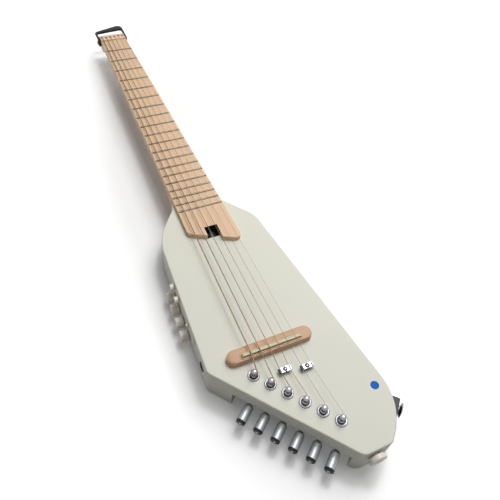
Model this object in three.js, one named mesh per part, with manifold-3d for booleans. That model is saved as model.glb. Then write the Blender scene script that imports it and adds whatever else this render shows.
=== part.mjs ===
// A headless travel guitar with six tuners in a rebate of its slanted tail.
// Sizes are in millimetres. X runs to the treble side, Y to the head and Z out of the top.
// The origin is on the back, under the saddle, on the middle line of the strings.
import * as THREE from "three";
import { mergeVertices } from "three/addons/utils/BufferGeometryUtils.js";
import Module from "manifold-3d";

const wasm = await Module();
wasm.setup();

// Gaps
const clearance = 0.3;
const stringRestGap = 0.1;
const cutOverrun = 2;
const mergeDistance = 0.0001;

// Steps of round shapes, in counts and degrees
const fineSides = 16;
const coarseSides = 12;
const hiddenSides = 10;
const tinySides = 8;
const tubeSides = 6;
const loopSteps = 24;
const bendSteps = 4;
const arcStepDegrees = 8;
const smallArcStepDegrees = 18;
const smallArcRadius = 12;
const domeSteps = 3;
const axisCount = 3;

// Strings and frets
const scaleLength = 648;
const saddleCompensation = 4;
const fretCount = 20;
const stringCount = 6;
const nutStringSpread = 36;
const saddleStringSpread = 49;
const thickestString = 1.32;
const stringThicknessShares = [1, 0.81, 0.58, 0.42, 0.29, 0.21];
const windingLoops = 2;
const windingGap = 0.48;
const ballEndDiameter = 3;

// Fretboard
const nutBoardWidth = 43;
const lastFretBoardWidth = 57.5;
const boardThickness = 6;
const boardBeyondNut = 22;
const saddleToBoardBassCorner = 170.6;
const saddleToBoardTrebleCorner = 142.8;
const boardBassCornerRadius = 9;
const boardTrebleCornerRadius = 6;
const fretWireWidth = 2.4;
const fretWireHeight = 1.1;
const fretEndInset = 0.6;
const fretTang = 0.6;
// The crown of a fret as shares of half its width and of its height
const fretCrownShares = [[1, 0], [0.9, 0.5], [0.5, 1], [-0.5, 1], [-0.9, 0.5], [-1, 0]];

// Nut and saddle
const nutThickness = 4;
const nutSlotDepth = 2.5;
const nutRise = 2.4;
const nutStringLift = 1.5;
const saddleLength = 64.4;
const saddleThickness = 4;
const saddleForward = 0.3;
const saddleStringLift = 10.3;
const saddleShift = -1.3;
const pickupStripThickness = 1.2;

// Bridge
const bridgeLength = 92.6;
const bridgeWidth = 15.9;
const bridgeThickness = 7.4;
const bridgeRim = 2.2;
const bridgeShift = -1.4;
const bridgeForward = 2.95;
const bridgeEndRoundShare = 0.98;
const bridgeCrestReach = 1.9;
// The pad's crown as shares of its rim's half width and of its rise above the rim
const bridgeCrownShares = [[1, 0], [0.93, 0.42], [0.76, 0.8]];
const bridgeSlotFloor = 1.5;

// Body
const bodyThickness = 40;
const bodyWidth = 160;
const bodyLength = 355;
const bodyEdgeRound = 1.5;
// Corner places as shares of the body's width and length, and corner radii as shares of its width
const bodyCornerShares = {
  bassNeckEnd: [-0.1944, 0.6465, 0.02],
  bassNeckSide: [-0.2025, 0.6239, 0.0875],
  bassShoulder: [-0.3888, 0.5079, 0.49],
  bassTail: [-0.4331, 0.0007, 0.0625],
  trebleTail: [0.1944, -0.3507, 0.07],
  trebleCut: [0.3819, -0.3507, 0.055],
  strapCorner: [0.5688, -0.2668, 0.385],
  trebleShoulder: [0.3825, 0.5039, 0.256],
  trebleNeckEnd: [0.1975, 0.6146, 0.02],
};

// Neck
const neckDepthAtNut = 15;
const neckDepthAtBody = 17;
const heelDepth = 24;
const heelStart = 262;
const heelFull = 238;
const neckSideWall = 2.5;
const neckRoundPower = 2.3;
const heelSquarePower = 9;
const headSquarePower = 24;
const neckSectionSteps = 10;
const heelEaseShares = [0.25, 0.5, 0.75];
const neckBoltSpacingAcross = 30;
const neckBoltSpacingAlong = 26;
// The middle of the bolts as a share of the way from the tenon's end to the body's neck end
const boltMiddleShare = 0.4652;
const neckBoltDiameter = 4.5;
const neckBoltBite = 14;
const neckPlateWidth = 42;
const neckPlateLength = 40;
const neckPlateThickness = 2;
const neckPlateCorner = 4;

// Truss rod and its access cup
const trussRodDiameter = 6;
const trussRodDepth = 4.8;
const trussRodToNut = 14;
const trussNutDiameter = 9;
const trussNutLength = 8;
const trussNutFromCup = 2;
const trussNutHoleDiameter = 4;
const trussNutHoleDepth = 5;
const trussThreadDiameter = 5;
const accessWidth = 15.6;
const accessLength = 13;
const accessDepth = 14;
const saddleToAccess = 161;
const accessShift = 0.1;
const cupWall = 1;

// Head end: string holes, ferrule bar and hanging loop
const nutToStringHoles = 14.5;
const stringHoleDiameter = 3.2;
const ferruleBarLength = 40.4;
const ferruleBarWidth = 8;
const ferruleBarThickness = 6;
const ferruleBarRecess = 1;
const ferruleBoreDiameter = 3.6;
const ferruleThroatDiameter = 2;
const ferruleThroatLength = 1.6;
const stringBendRadius = 1.8;
const loopLegThickness = 3.6;
const loopPlateThickness = 4;
const loopTopDrop = 1.5;
const loopBassGap = 16;
const loopTrebleGap = 21.6;
const loopBassReach = 20;
const loopTrebleReach = 37;
const loopBassCorner = 7;
const loopTrebleCorner = 8.5;
const loopInnerCorner = 3;
const loopLegReach = 12;
const loopScrewFromEnd = 3.2;
const loopEarHeight = 12;
const loopScrewDrop = 4.5;
const loopScrewDiameter = 3.5;
const loopScrewHeadDiameter = 6;
const loopScrewHeadThickness = 1.2;
const loopScrewLength = 12;

// Tuners, along and inwards from the slanted tail wall
const tailToFirstPost = 40.5;
const postPitch = 18;
const postInset = 19.35;
const tailPlateThickness = 17;
const rebateStart = 28.3;
const rebateEnd = 151.9;
const rebateDepth = 31;
const postDiameter = 6;
const postWaistDiameter = 4.6;
const postRise = 10.2;
const postDomeHeight = 1.7;
const bushingDiameter = 9.4;
const bushingRingDiameter = 12;
const bushingRingHeight = 1.3;
const wormOffset = 7.2;
const wormDrop = 6;
const wormDiameter = 4.4;
const wormLength = 9;
const wormGrooveDepth = 0.5;
const wormGrooves = 3;
const wheelThickness = 4;
const wheelTeeth = 14;
const wheelToothDepth = 0.8;
const housingWidth = 17;
const housingPostSide = 6.2;
const housingDepth = 16;
const housingHeight = 11;
const housingFrontFromPost = 8;
const noseDiameter = 6.4;
const noseLength = 6.6;
const wormShaftDiameter = 3;
const buttonFromPost = 17.3;
const buttonLength = 18.9;
const buttonDiameter = 9.6;
const buttonConeRise = 2.4;
const buttonConeLength = 3.6;
// The rounding between cone and grip as shares of the cone's rise and length
const buttonConeShares = [[1, 0], [0.3, 0.5], [0, 1]];
const capThickness = 2.2;
const capEdge = 0.7;
const capScrewDiameter = 3;
const capScrewHeight = 0.8;

// String trees behind the bridge
const treePlateLength = 13.6;
const treePlateWidth = 5;
const treePlateThickness = 0.9;
const treeWingDrop = 1.6;
const treeWingThickness = 1;
const treeStringHeight = 4;
const treeFootDiameter = 4;
const treeScrewHeadDiameter = 4.4;
const treeScrewHeadHeight = 0.9;
const treeScrewBite = 9;
const treeScrewDiameter = 2.6;
const trebleTreeBehindSaddle = 30.9;
const middleTreeBehindSaddle = 26.3;
const trebleTreeFromMiddle = 22.6;
const middleTreeFromMiddle = 1;

// Controls in the bass wall, along the wall from the tail corner and up from the back
const knobRowHeight = 13.7;
const smallRowHeight = 31.5;
const firstKnobAlong = 61;
const knobPitch = 17.5;
const knobCount = 4;
const knobDiameter = 12.6;
const knobLength = 8.8;
const knobWallGap = 1;
const knobEdge = 0.8;
const knobShaftDiameter = 6;
const knobBushingDiameter = 8.4;
const smallKnobDiameter = 8;
const smallKnobLength = 4.2;
const smallShaftDiameter = 3.2;
const smallBushingDiameter = 5.4;
const pushButtonAlong = 60.5;
const pushButtonHeight = 33;
const pushButtonDiameter = 4.4;
const pushButtonLength = 1.8;
const pushButtonTravel = 0.8;
const plungerDiameter = 2.2;
const headphoneAlong = 41;
const headphoneRingDiameter = 8;
const headphoneRingThickness = 0.9;
const headphoneBore = 3.6;
const headphoneBodyDiameter = 6;
const headphoneBodyLength = 14;
const jackAlong = 17.4;
const jackHeight = 20;
const jackPlateDiameter = 21.6;
const jackPlateThickness = 3;
const jackPlateDish = 1.6;
const jackNutDiameter = 11;
const jackNutThickness = 1.6;
const jackBore = 6.5;
const jackBarrelDiameter = 9;
const jackBodyDiameter = 15;
const jackBodyLength = 24;

// Control cavity, preamp board, battery and back cover, inwards from the bass wall
const wallThickness = 4.5;
const cavityStart = 50;
const cavityEnd = 124;
const cavityInner = 46;
const cavityCeiling = 3.4;
const boardPlateInset = 13;
const boardPlateThickness = 1.6;
const boardPlateEndGap = 2;
const potDepth = 7.6;
const potDiameter = 15;
const smallPotDiameter = 9.2;
const switchSize = 6;
const batteryLength = 48.5;
const batteryWidth = 26.5;
const batteryHeight = 17.5;
const batteryAlong = 62;
const batteryInset = 17.5;
const batteryClipThickness = 5;
const coverThickness = 2.5;
const coverLedge = 8;
const coverWallLedge = 2;
const coverCorner = 6;
const coverScrewDiameter = 3;
const coverScrewHeadDiameter = 6;
const coverScrewHeadThickness = 1.2;
const coverScrewBite = 8;
const wireBoreDiameter = 5;
const wireBoreInset = 41;

// Strap fittings and the round marker
const strapBlockHeight = 22;
const strapBlockBase = 12;
const strapBlockTip = 5.5;
const strapBlockSpan = 22;
const strapBlockReturn = 13;
const strapSeatShare = 0.284;
const strapButtonHead = 15;
const strapButtonNeck = 7.5;
const strapButtonNeckLength = 3.4;
const strapButtonHeadLength = 2.2;
// The head's profile as shares of its diameter and of its length
const strapHeadProfileShares = [[0.5, 0.3333], [0.5, 0.5], [0.3333, 1], [0, 1]];
const strapScrewDiameter = 3.6;
const strapScrewLength = 20;
const endButtonHead = 17.6;
const endButtonNeck = 9;
const endButtonNeckLength = 1.2;
const endButtonHeadLength = 5.4;
const endButtonFromMiddle = 45.6;
const endButtonHeight = 27;
const endButtonDimple = 1;
const endButtonDimpleDiameter = 6;
const markerDiameter = 8;
const markerThickness = 1.5;
const markerRise = 0.2;
// The marker's place as shares of the body's width and length
const markerPlaceShares = [0.47375, -0.2017];

// Heights and places that follow from the sizes above
const nutY = scaleLength + saddleCompensation;
const headEndY = nutY + boardBeyondNut;
const boardTop = bodyThickness + boardThickness;
const nutStringFloor = boardTop + nutStringLift;
const saddleTop = bodyThickness + saddleStringLift;
const tailPlateFloor = bodyThickness - tailPlateThickness;
const wormHeight = tailPlateFloor - wormDrop;
const stringHoleY = nutY + nutToStringHoles;
const trussAxisHeight = bodyThickness - trussRodDepth;
const accessEndY = saddleToAccess + accessLength;
const tenonEndY = accessEndY + clearance;
const bodyNeckEndY = bodyCornerShares.bassNeckEnd[1] * bodyLength;
const neckPlateY = tenonEndY + (bodyNeckEndY - tenonEndY) * boltMiddleShare;

const fretY = (n) => nutY - scaleLength * (1 - 2 ** (-n / 12));
const boardWidthAt = (y) =>
  nutBoardWidth + ((lastFretBoardWidth - nutBoardWidth) * (nutY - y)) / (nutY - fretY(fretCount));
const stringDiameter = (i) => thickestString * stringThicknessShares[i];
const spreadPlace = (spread, i) => spread * (i / (stringCount - 1) - 0.5);

// Materials
function finish(color, roughness, metalness) {
  return new THREE.MeshStandardMaterial({ color, roughness, metalness });
}
const bodyPaint = finish(0xe2e3d8, 0.5, 0);
const paleWood = finish(0xd9b48c, 0.6, 0);
const bridgeWood = finish(0xcaa07a, 0.6, 0);
const bone = finish(0xe6dcc0, 0.4, 0);
const blackPlastic = finish(0x1a1b1e, 0.45, 0);
const creamPlastic = finish(0xe9e2d6, 0.4, 0);
const chrome = finish(0xd5d7da, 0.12, 1);
const satinNickel = finish(0x9a9a9a, 0.35, 1);
const steel = finish(0x8d8f92, 0.35, 1);
const bronze = finish(0xa07a52, 0.4, 1);
const blueEnamel = finish(0x0068c8, 0.3, 0);
const boardGreen = finish(0x24523a, 0.6, 0);

// Closed geometry to a solid, with its faces turned outwards
function solid(geometry) {
  const bare = geometry.clone();
  bare.deleteAttribute("normal");
  bare.deleteAttribute("uv");
  const merged = mergeVertices(bare, mergeDistance);
  const corners = merged.index.array;
  const kept = [];
  for (let i = 0; i < corners.length; i += axisCount) {
    const [a, b, c] = [corners[i], corners[i + 1], corners[i + 2]];
    if (a !== b && b !== c && c !== a) kept.push(a, b, c);
  }
  const build = (order) =>
    new wasm.Manifold(
      new wasm.Mesh({
        numProp: axisCount,
        vertProperties: new Float32Array(merged.attributes.position.array),
        triVerts: new Uint32Array(order),
      }),
    );
  const made = build(kept);
  return made.volume() < 0 ? build(kept.toReversed()) : made;
}

function geometryOf(made) {
  const mesh = made.getMesh();
  const position = new Float32Array(mesh.numVert * axisCount);
  for (let i = 0; i < mesh.numVert; i++) {
    const from = i * mesh.numProp;
    position.set(mesh.vertProperties.subarray(from, from + axisCount), i * axisCount);
  }
  const geometry = new THREE.BufferGeometry();
  geometry.setAttribute("position", new THREE.BufferAttribute(position, axisCount));
  geometry.setIndex(new THREE.BufferAttribute(new Uint32Array(mesh.triVerts), 1));
  geometry.computeVertexNormals();
  return geometry;
}

const union = (parts) => parts.reduce((sum, next) => sum.add(next));
const cut = (base, cutters) => cutters.reduce((left, next) => left.subtract(next), base);

// A box between two corners
function block(x0, x1, y0, y1, z0, z1) {
  const geometry = new THREE.BoxGeometry(x1 - x0, y1 - y0, z1 - z0);
  return solid(geometry.translate((x0 + x1) / 2, (y0 + y1) / 2, (z0 + z1) / 2));
}

// A body of revolution: profile points are [radius, distance along the axis]
const axisUp = new THREE.Vector3(0, 1, 0);
function turned(profile, origin, direction, sides) {
  const points = profile.map(([r, h]) => new THREE.Vector2(r, h));
  const turn = new THREE.Quaternion().setFromUnitVectors(axisUp, direction.clone().normalize());
  const placed = new THREE.Matrix4().compose(origin, turn, new THREE.Vector3(1, 1, 1));
  return solid(new THREE.LatheGeometry(points, sides)).transform(placed.elements);
}

function rod(radius, from, to, sides) {
  const axis = to.clone().sub(from);
  const length = axis.length();
  return turned([[0, 0], [radius, 0], [radius, length], [0, length]], from, axis, sides);
}

// A polygon of corners [x, y, radius], each corner rounded by an arc of that radius
function roundedPoints(corners) {
  const points = [];
  corners.forEach(([x, y, radius], i) => {
    const before = corners[(i + corners.length - 1) % corners.length];
    const after = corners[(i + 1) % corners.length];
    const corner = new THREE.Vector2(x, y);
    const back = new THREE.Vector2(before[0], before[1]).sub(corner).normalize();
    const ahead = new THREE.Vector2(after[0], after[1]).sub(corner).normalize();
    const half = Math.acos(THREE.MathUtils.clamp(back.dot(ahead), -1, 1)) / 2;
    if (radius === 0) {
      points.push(corner);
      return;
    }
    const inwards = back.clone().add(ahead).normalize();
    const centre = corner.clone().addScaledVector(inwards, radius / Math.sin(half));
    const start = corner.clone().addScaledVector(back, radius / Math.tan(half)).sub(centre);
    const end = corner.clone().addScaledVector(ahead, radius / Math.tan(half)).sub(centre);
    const sweep = Math.PI - 2 * half;
    const side = Math.sign(start.cross(end));
    const step = radius > smallArcRadius ? arcStepDegrees : smallArcStepDegrees;
    const steps = Math.max(2, Math.round(THREE.MathUtils.radToDeg(sweep) / step));
    for (let k = 0; k <= steps; k++) {
      const turn = (side * sweep * k) / steps;
      points.push(start.clone().rotateAround(new THREE.Vector2(), turn).add(centre));
    }
  });
  return points;
}

function prism(points, z0, z1) {
  const settings = { depth: z1 - z0, bevelEnabled: false };
  return solid(new THREE.ExtrudeGeometry(new THREE.Shape(points), settings).translate(0, 0, z0));
}

// A prism whose top and bottom edges are rounded
function softPrism(points, z0, z1, round, steps) {
  const settings = {
    depth: z1 - z0 - 2 * round,
    bevelThickness: round,
    bevelSize: round,
    bevelOffset: -round,
    bevelSegments: steps,
  };
  const geometry = new THREE.ExtrudeGeometry(new THREE.Shape(points), settings);
  return solid(geometry.translate(0, 0, z0 + round));
}

// A tube along a list of points, closed by a flat cap at each end
function tube(points, radius, sides) {
  const rings = [];
  let normal = null;
  points.forEach((point, i) => {
    const before = points[Math.max(i - 1, 0)];
    const after = points[Math.min(i + 1, points.length - 1)];
    const along = after.clone().sub(before).normalize();
    if (!normal) normal = new THREE.Vector3(1, 0, 0).cross(along).normalize();
    normal.addScaledVector(along, -normal.dot(along)).normalize();
    const across = along.clone().cross(normal);
    const ring = [];
    for (let k = 0; k < sides; k++) {
      const turn = (2 * Math.PI * k) / sides;
      const offset = normal.clone().multiplyScalar(Math.cos(turn)).addScaledVector(across, Math.sin(turn));
      ring.push(point.clone().addScaledVector(offset, radius));
    }
    rings.push(ring);
  });
  return solid(skin(rings));
}

// Rings of points joined into one closed surface, with a fan over each end
function skin(rings) {
  const sides = rings[0].length;
  const position = rings.flat().flatMap((p) => [p.x, p.y, p.z]);
  const index = [];
  for (let i = 0; i + 1 < rings.length; i++) {
    for (let k = 0; k < sides; k++) {
      const a = i * sides + k;
      const b = i * sides + ((k + 1) % sides);
      index.push(a, b, b + sides, a, b + sides, a + sides);
    }
  }
  const last = (rings.length - 1) * sides;
  for (let k = 1; k + 1 < sides; k++) {
    index.push(0, k + 1, k, last, last + k, last + k + 1);
  }
  const geometry = new THREE.BufferGeometry();
  geometry.setAttribute("position", new THREE.Float32BufferAttribute(position, axisCount));
  geometry.setIndex(index);
  return geometry;
}

// The guitar and the frames of its two working walls
const guitar = new THREE.Group();
guitar.name = "travel_guitar";

const bodyCorners = Object.values(bodyCornerShares).map(([x, y, radius]) => [
  x * bodyWidth,
  y * bodyLength,
  radius * bodyWidth,
]);
function cornerPoint([x, y]) {
  return new THREE.Vector3(x * bodyWidth, y * bodyLength, 0);
}

// A group whose Y axis runs from one corner to another, with its X axis to the right of it
function wallFrame(from, to) {
  const group = new THREE.Group();
  const along = to.clone().sub(from);
  group.position.copy(from);
  group.rotation.z = Math.atan2(along.y, along.x) - Math.PI / 2;
  group.updateMatrixWorld(true);
  guitar.add(group);
  return group;
}
const bassTailPoint = cornerPoint(bodyCornerShares.bassTail);
const trebleTailPoint = cornerPoint(bodyCornerShares.trebleTail);
const bassWall = wallFrame(bassTailPoint, cornerPoint(bodyCornerShares.bassShoulder));
const tailWall = wallFrame(trebleTailPoint, bassTailPoint);
const tailWallLength = trebleTailPoint.distanceTo(bassTailPoint);
const inFrame = (group, made) => made.transform(group.matrixWorld.elements);

function place(parent, name, made, material) {
  const geometry = made.isBufferGeometry ? made : geometryOf(made);
  const mesh = new THREE.Mesh(geometry, material);
  mesh.name = name;
  parent.add(mesh);
  return mesh;
}
const v = (x, y, z) => new THREE.Vector3(x, y, z);
const yAxis = v(0, 1, 0);
const zAxis = v(0, 0, 1);
const xAxis = v(1, 0, 0);

// In the bass wall's frame X runs into the body. In the tail wall's frame it runs into the body too,
// and Y runs from the treble corner to the bass corner.
const postAlong = (i) => tailWallLength - tailToFirstPost - postPitch * i;
const wormAlong = (i) => postAlong(i) - wormOffset;
const knobAlong = (i) => firstKnobAlong + knobPitch * i;

// Tuners
const wheelRadius = wormOffset - wormDiameter / 2 - clearance;
const wheelRoomRadius = wheelRadius + 2 * clearance;
const housingTop = tailPlateFloor - clearance;
const housingFloor = housingTop - housingHeight;
const frontX = postInset - housingFrontFromPost;

function tunerHousing(i) {
  const post = v(postInset, postAlong(i), 0);
  const worm = v(postInset, wormAlong(i), wormHeight);
  const y1 = postAlong(i) + housingPostSide;
  const box = block(frontX, frontX + housingDepth, y1 - housingWidth, y1, housingFloor, housingTop);
  const nose = rod(noseDiameter / 2, v(frontX + noseDiameter / 2, worm.y, worm.z),
    v(frontX - noseLength, worm.y, worm.z), hiddenSides);
  const ringTop = bodyThickness + clearance + bushingRingHeight;
  const sleeveLength = ringTop - housingTop;
  const bushing = turned([
    [0, -clearance], [bushingDiameter / 2, -clearance],
    [bushingDiameter / 2, sleeveLength - bushingRingHeight],
    [bushingRingDiameter / 2, sleeveLength - bushingRingHeight],
    [bushingRingDiameter / 2, sleeveLength - bushingRingHeight / 2],
    [bushingRingDiameter / 2 - bushingRingHeight / 2, sleeveLength], [0, sleeveLength],
  ], v(post.x, post.y, housingTop), zAxis, coarseSides);
  const wheelRoom = turned([
    [0, -wheelThickness / 2 - clearance], [wheelRoomRadius, -wheelThickness / 2 - clearance],
    [wheelRoomRadius, wheelThickness / 2 + clearance], [0, wheelThickness / 2 + clearance],
  ], v(post.x, post.y, wormHeight), zAxis, hiddenSides);
  const wormRoom = rod(wormDiameter / 2 + clearance, v(worm.x - wormLength / 2 - clearance, worm.y, worm.z),
    v(worm.x + wormLength / 2 + clearance, worm.y, worm.z), hiddenSides);
  const shaftBore = rod(wormShaftDiameter / 2 + clearance, v(worm.x, worm.y, worm.z),
    v(frontX - noseLength - cutOverrun, worm.y, worm.z), hiddenSides);
  const postBore = rod(postDiameter / 2 + clearance, v(post.x, post.y, wormHeight),
    v(post.x, post.y, ringTop + cutOverrun), coarseSides);
  return cut(union([box, nose, bushing]), [wheelRoom, wormRoom, shaftBore, postBore]);
}

function tunerPost(i) {
  const foot = wormHeight - wheelThickness / 2;
  const top = bodyThickness + postRise - foot;
  const r = postDiameter / 2;
  const waist = postWaistDiameter / 2;
  const collarTop = bodyThickness + clearance + bushingRingHeight + clearance - foot;
  const domeFoot = top - postDomeHeight;
  const profile = [[0, 0], [r, 0], [r, collarTop], [waist, collarTop + r - waist],
    [waist, domeFoot - (r - waist)], [r, domeFoot]];
  for (let k = 1; k < domeSteps; k++) {
    const turn = ((Math.PI / 2) * k) / domeSteps;
    profile.push([r * Math.cos(turn), domeFoot + postDomeHeight * Math.sin(turn)]);
  }
  profile.push([0, top]);
  const shaft = turned(profile, v(postInset, postAlong(i), foot), zAxis, coarseSides);
  const rim = [];
  for (let k = 0; k < 2 * wheelTeeth; k++) {
    const radius = k % 2 ? wheelRadius : wheelRadius - wheelToothDepth;
    const turn = (Math.PI * k) / wheelTeeth;
    rim.push(new THREE.Vector2(postInset + radius * Math.cos(turn), postAlong(i) + radius * Math.sin(turn)));
  }
  return shaft.add(prism(rim, foot, foot + wheelThickness));
}

// The worm, its shaft, the turning button, its end cap and the cap's screw
function tunerButton(i) {
  const wormEnd = wormLength / 2;
  const r = wormDiameter / 2;
  const shaftRadius = wormShaftDiameter / 2;
  const start = buttonFromPost;
  const end = buttonFromPost + buttonLength;
  const buttonRadius = buttonDiameter / 2;
  const profile = [[0, -wormEnd]];
  const step = wormLength / wormGrooves;
  for (let k = 0; k < wormGrooves; k++) {
    const foot = -wormEnd + k * step;
    profile.push([r - wormGrooveDepth, foot], [r, foot + step / 2]);
  }
  profile.push([r - wormGrooveDepth, wormEnd], [shaftRadius, wormEnd], [shaftRadius, start]);
  profile.push(...buttonConeShares.map(([rise, length]) =>
    [buttonRadius - buttonConeRise * rise, start + buttonConeLength * length]));
  profile.push([buttonRadius, end], [buttonRadius, end + capThickness - capEdge]);
  profile.push([buttonRadius - capEdge, end + capThickness], [capScrewDiameter / 2, end + capThickness]);
  profile.push([capScrewDiameter / 2, end + capThickness + capScrewHeight]);
  profile.push([0, end + capThickness + capScrewHeight]);
  return turned(profile, v(postInset, wormAlong(i), wormHeight), xAxis.clone().negate(), hiddenSides);
}

const tunerRecesses = [];
for (let i = 0; i < stringCount; i++) {
  const number = i + 1;
  place(tailWall, "tuner_housing_" + number, tunerHousing(i), satinNickel);
  place(tailWall, "tuner_post_" + number, tunerPost(i), chrome);
  place(tailWall, "tuner_button_" + number, tunerButton(i), satinNickel);
  tunerRecesses.push(rod(bushingDiameter / 2 + clearance, v(postInset, postAlong(i), 0),
    v(postInset, postAlong(i), bodyThickness + cutOverrun), coarseSides));
}

// Strings
function postPlace(i) {
  return v(postInset, postAlong(i), 0).applyMatrix4(tailWall.matrixWorld);
}
const windingRadius = (i) => postWaistDiameter / 2 + stringRestGap + stringDiameter(i) / 2;
const windingPitch = (i) => stringDiameter(i) + windingGap;
const windingTop = bodyThickness + postRise - postDomeHeight - (postDiameter - postWaistDiameter) / 2;
const trees = [
  { x: middleTreeFromMiddle, y: -middleTreeBehindSaddle, strings: [2, 3] },
  { x: trebleTreeFromMiddle, y: -trebleTreeBehindSaddle, strings: [4, 5] },
];
const treeHalf = treePlateLength / 2 - treeWingThickness;
const treeStringFromScrew = treeHalf - thickestString / 2 - clearance;

// A string runs level under its tree, from the front edge of the plate to the back edge
function treePlaces(i) {
  const tree = trees.find((t) => t.strings.includes(i));
  if (!tree) return [];
  const x = tree.x + (tree.strings.indexOf(i) === 0 ? -1 : 1) * treeStringFromScrew;
  const reach = treePlateWidth / 2 + clearance;
  return [tree.y + reach, tree.y - reach].map((y) => v(x, y, bodyThickness + treeStringHeight));
}

// The string's middle line: ball end, bend over the head, nut, saddle, tree and winding
function stringPath(i) {
  const half = stringDiameter(i) / 2;
  const nutX = spreadPlace(nutStringSpread, i);
  const saddle = v(spreadPlace(saddleStringSpread, i), saddleForward - saddleThickness / 2,
    saddleTop + stringRestGap + half);
  const nut = v(nutX, nutY + nutThickness, nutStringFloor + stringRestGap + half);
  const bendTop = boardTop + stringRestGap + half;
  const path = [v(nutX, stringHoleY, ferruleThroatTop - ferruleThroatLength - ballEndDiameter / 2)];
  for (let k = 0; k <= bendSteps; k++) {
    const turn = ((Math.PI / 2) * k) / bendSteps;
    const y = stringHoleY - stringBendRadius * (1 - Math.cos(turn));
    path.push(v(nutX, y, bendTop - stringBendRadius * (1 - Math.sin(turn))));
  }
  path.push(nut, saddle);
  path.push(...treePlaces(i));
  const last = path.at(-1);
  const post = postPlace(i);
  const radius = windingRadius(i);
  const away = new THREE.Vector2(last.x - post.x, last.y - post.y);
  const first = away.angle() - Math.acos(radius / away.length());
  const pitch = windingPitch(i);
  const height = windingTop - half - stringRestGap;
  const around = (turn, drop) =>
    v(post.x + radius * Math.cos(first - turn), post.y + radius * Math.sin(first - turn), height - drop);
  const winding = [];
  for (let k = 0; k <= windingLoops * loopSteps; k++) {
    const share = k / loopSteps;
    winding.push(around(2 * Math.PI * share, pitch * share));
  }
  // The cut end runs straight for one string diameter
  const heading = winding.at(-1).clone().sub(winding.at(-2)).setLength(stringDiameter(i));
  return { path: [...path, ...winding, winding.at(-1).clone().add(heading)], winding };
}

// The least gap between one loop of a winding and the next
function leastGap(winding, diameter) {
  let least = Infinity;
  winding.forEach((a, i) => {
    for (let k = i + Math.round(loopSteps / 2); k < winding.length; k++) {
      least = Math.min(least, a.distanceTo(winding[k]) - diameter);
    }
  });
  return least;
}

const headNeckDepth = neckDepthAtNut;
const ferruleFloor = bodyThickness - headNeckDepth + ferruleBarRecess;
const ferruleThroatTop = ferruleFloor + ferruleBarThickness;
const stringMetals = [bronze, bronze, bronze, bronze, steel, steel];
const stringNames = ["e_low", "a", "d", "g", "b", "e_high"];
for (let i = 0; i < stringCount; i++) {
  const { path, winding } = stringPath(i);
  const ballRadius = ballEndDiameter / 2;
  const ball = solid(new THREE.SphereGeometry(ballRadius, tinySides, tinySides / 2)
    .translate(path[0].x, path[0].y, path[0].z));
  const made = tube(path, stringDiameter(i) / 2, tubeSides).add(ball);
  place(guitar, "string_" + stringNames[i], made, stringMetals[i]);
  console.log("winding " + stringNames[i] + " least gap " + leastGap(winding, stringDiameter(i)).toFixed(2));
}

// Ferrule bar that takes the ball ends, let into the back of the head
const ferruleBar = cut(
  block(-ferruleBarLength / 2, ferruleBarLength / 2, stringHoleY - ferruleBarWidth / 2,
    stringHoleY + ferruleBarWidth / 2, ferruleFloor, ferruleThroatTop),
  Array.from({ length: stringCount }, (_, i) => {
    const x = spreadPlace(nutStringSpread, i);
    const counterbore = rod(ferruleBoreDiameter / 2, v(x, stringHoleY, ferruleFloor - cutOverrun),
      v(x, stringHoleY, ferruleThroatTop - ferruleThroatLength), tinySides);
    const throat = rod(ferruleThroatDiameter / 2, v(x, stringHoleY, ferruleFloor),
      v(x, stringHoleY, ferruleThroatTop + cutOverrun), tinySides);
    return counterbore.add(throat);
  }),
);
place(guitar, "string_ferrule_bar", ferruleBar, steel);

// Nut and saddle
const nutStart = nutY;
const nutTop = boardTop + nutRise;
const nutStringSlots = Array.from({ length: stringCount }, (_, i) => {
  const x = spreadPlace(nutStringSpread, i);
  const half = stringDiameter(i) / 2 + stringRestGap;
  return block(x - half, x + half, nutStart - cutOverrun, nutStart + nutThickness + cutOverrun,
    nutStringFloor, nutTop + cutOverrun);
});
const nutHalf = nutBoardWidth / 2 - fretEndInset;
place(guitar, "nut", cut(
  block(-nutHalf, nutHalf, nutStart, nutStart + nutThickness, boardTop - nutSlotDepth, nutTop),
  nutStringSlots,
), bone);

const slotFloor = bodyThickness + bridgeSlotFloor;
const stripTop = slotFloor + pickupStripThickness;
const saddleX0 = saddleShift - saddleLength / 2;
const saddleX1 = saddleShift + saddleLength / 2;
const saddleY0 = saddleForward - saddleThickness / 2;
const saddleY1 = saddleForward + saddleThickness / 2;
place(guitar, "saddle", block(saddleX0, saddleX1, saddleY0, saddleY1, stripTop, saddleTop), bone);
place(guitar, "under_saddle_pickup",
  block(saddleX0, saddleX1, saddleY0, saddleY1, slotFloor, stripTop), steel);

// Bridge pad: a low rim, crowned up to a crest round the saddle's slot
function bridgeLevel(y0, y1, x0, x1, height) {
  const round = ((y1 - y0) / 2) * bridgeEndRoundShare;
  const corners = [[x0, y0, round], [x1, y0, round], [x1, y1, round], [x0, y1, round]];
  return roundedPoints(corners).map((p) => v(p.x, p.y, height));
}
const bridgeTop = bodyThickness + bridgeThickness;
const rimTop = bodyThickness + bridgeRim;
const rimX = [bridgeShift - bridgeLength / 2, bridgeShift + bridgeLength / 2];
const rimY = [bridgeForward - bridgeWidth / 2, bridgeForward + bridgeWidth / 2];
const crestX = [saddleX0 - bridgeCrestReach, saddleX1 + bridgeCrestReach];
const crestY = [saddleY0 - bridgeCrestReach, saddleY1 + bridgeCrestReach];
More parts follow.
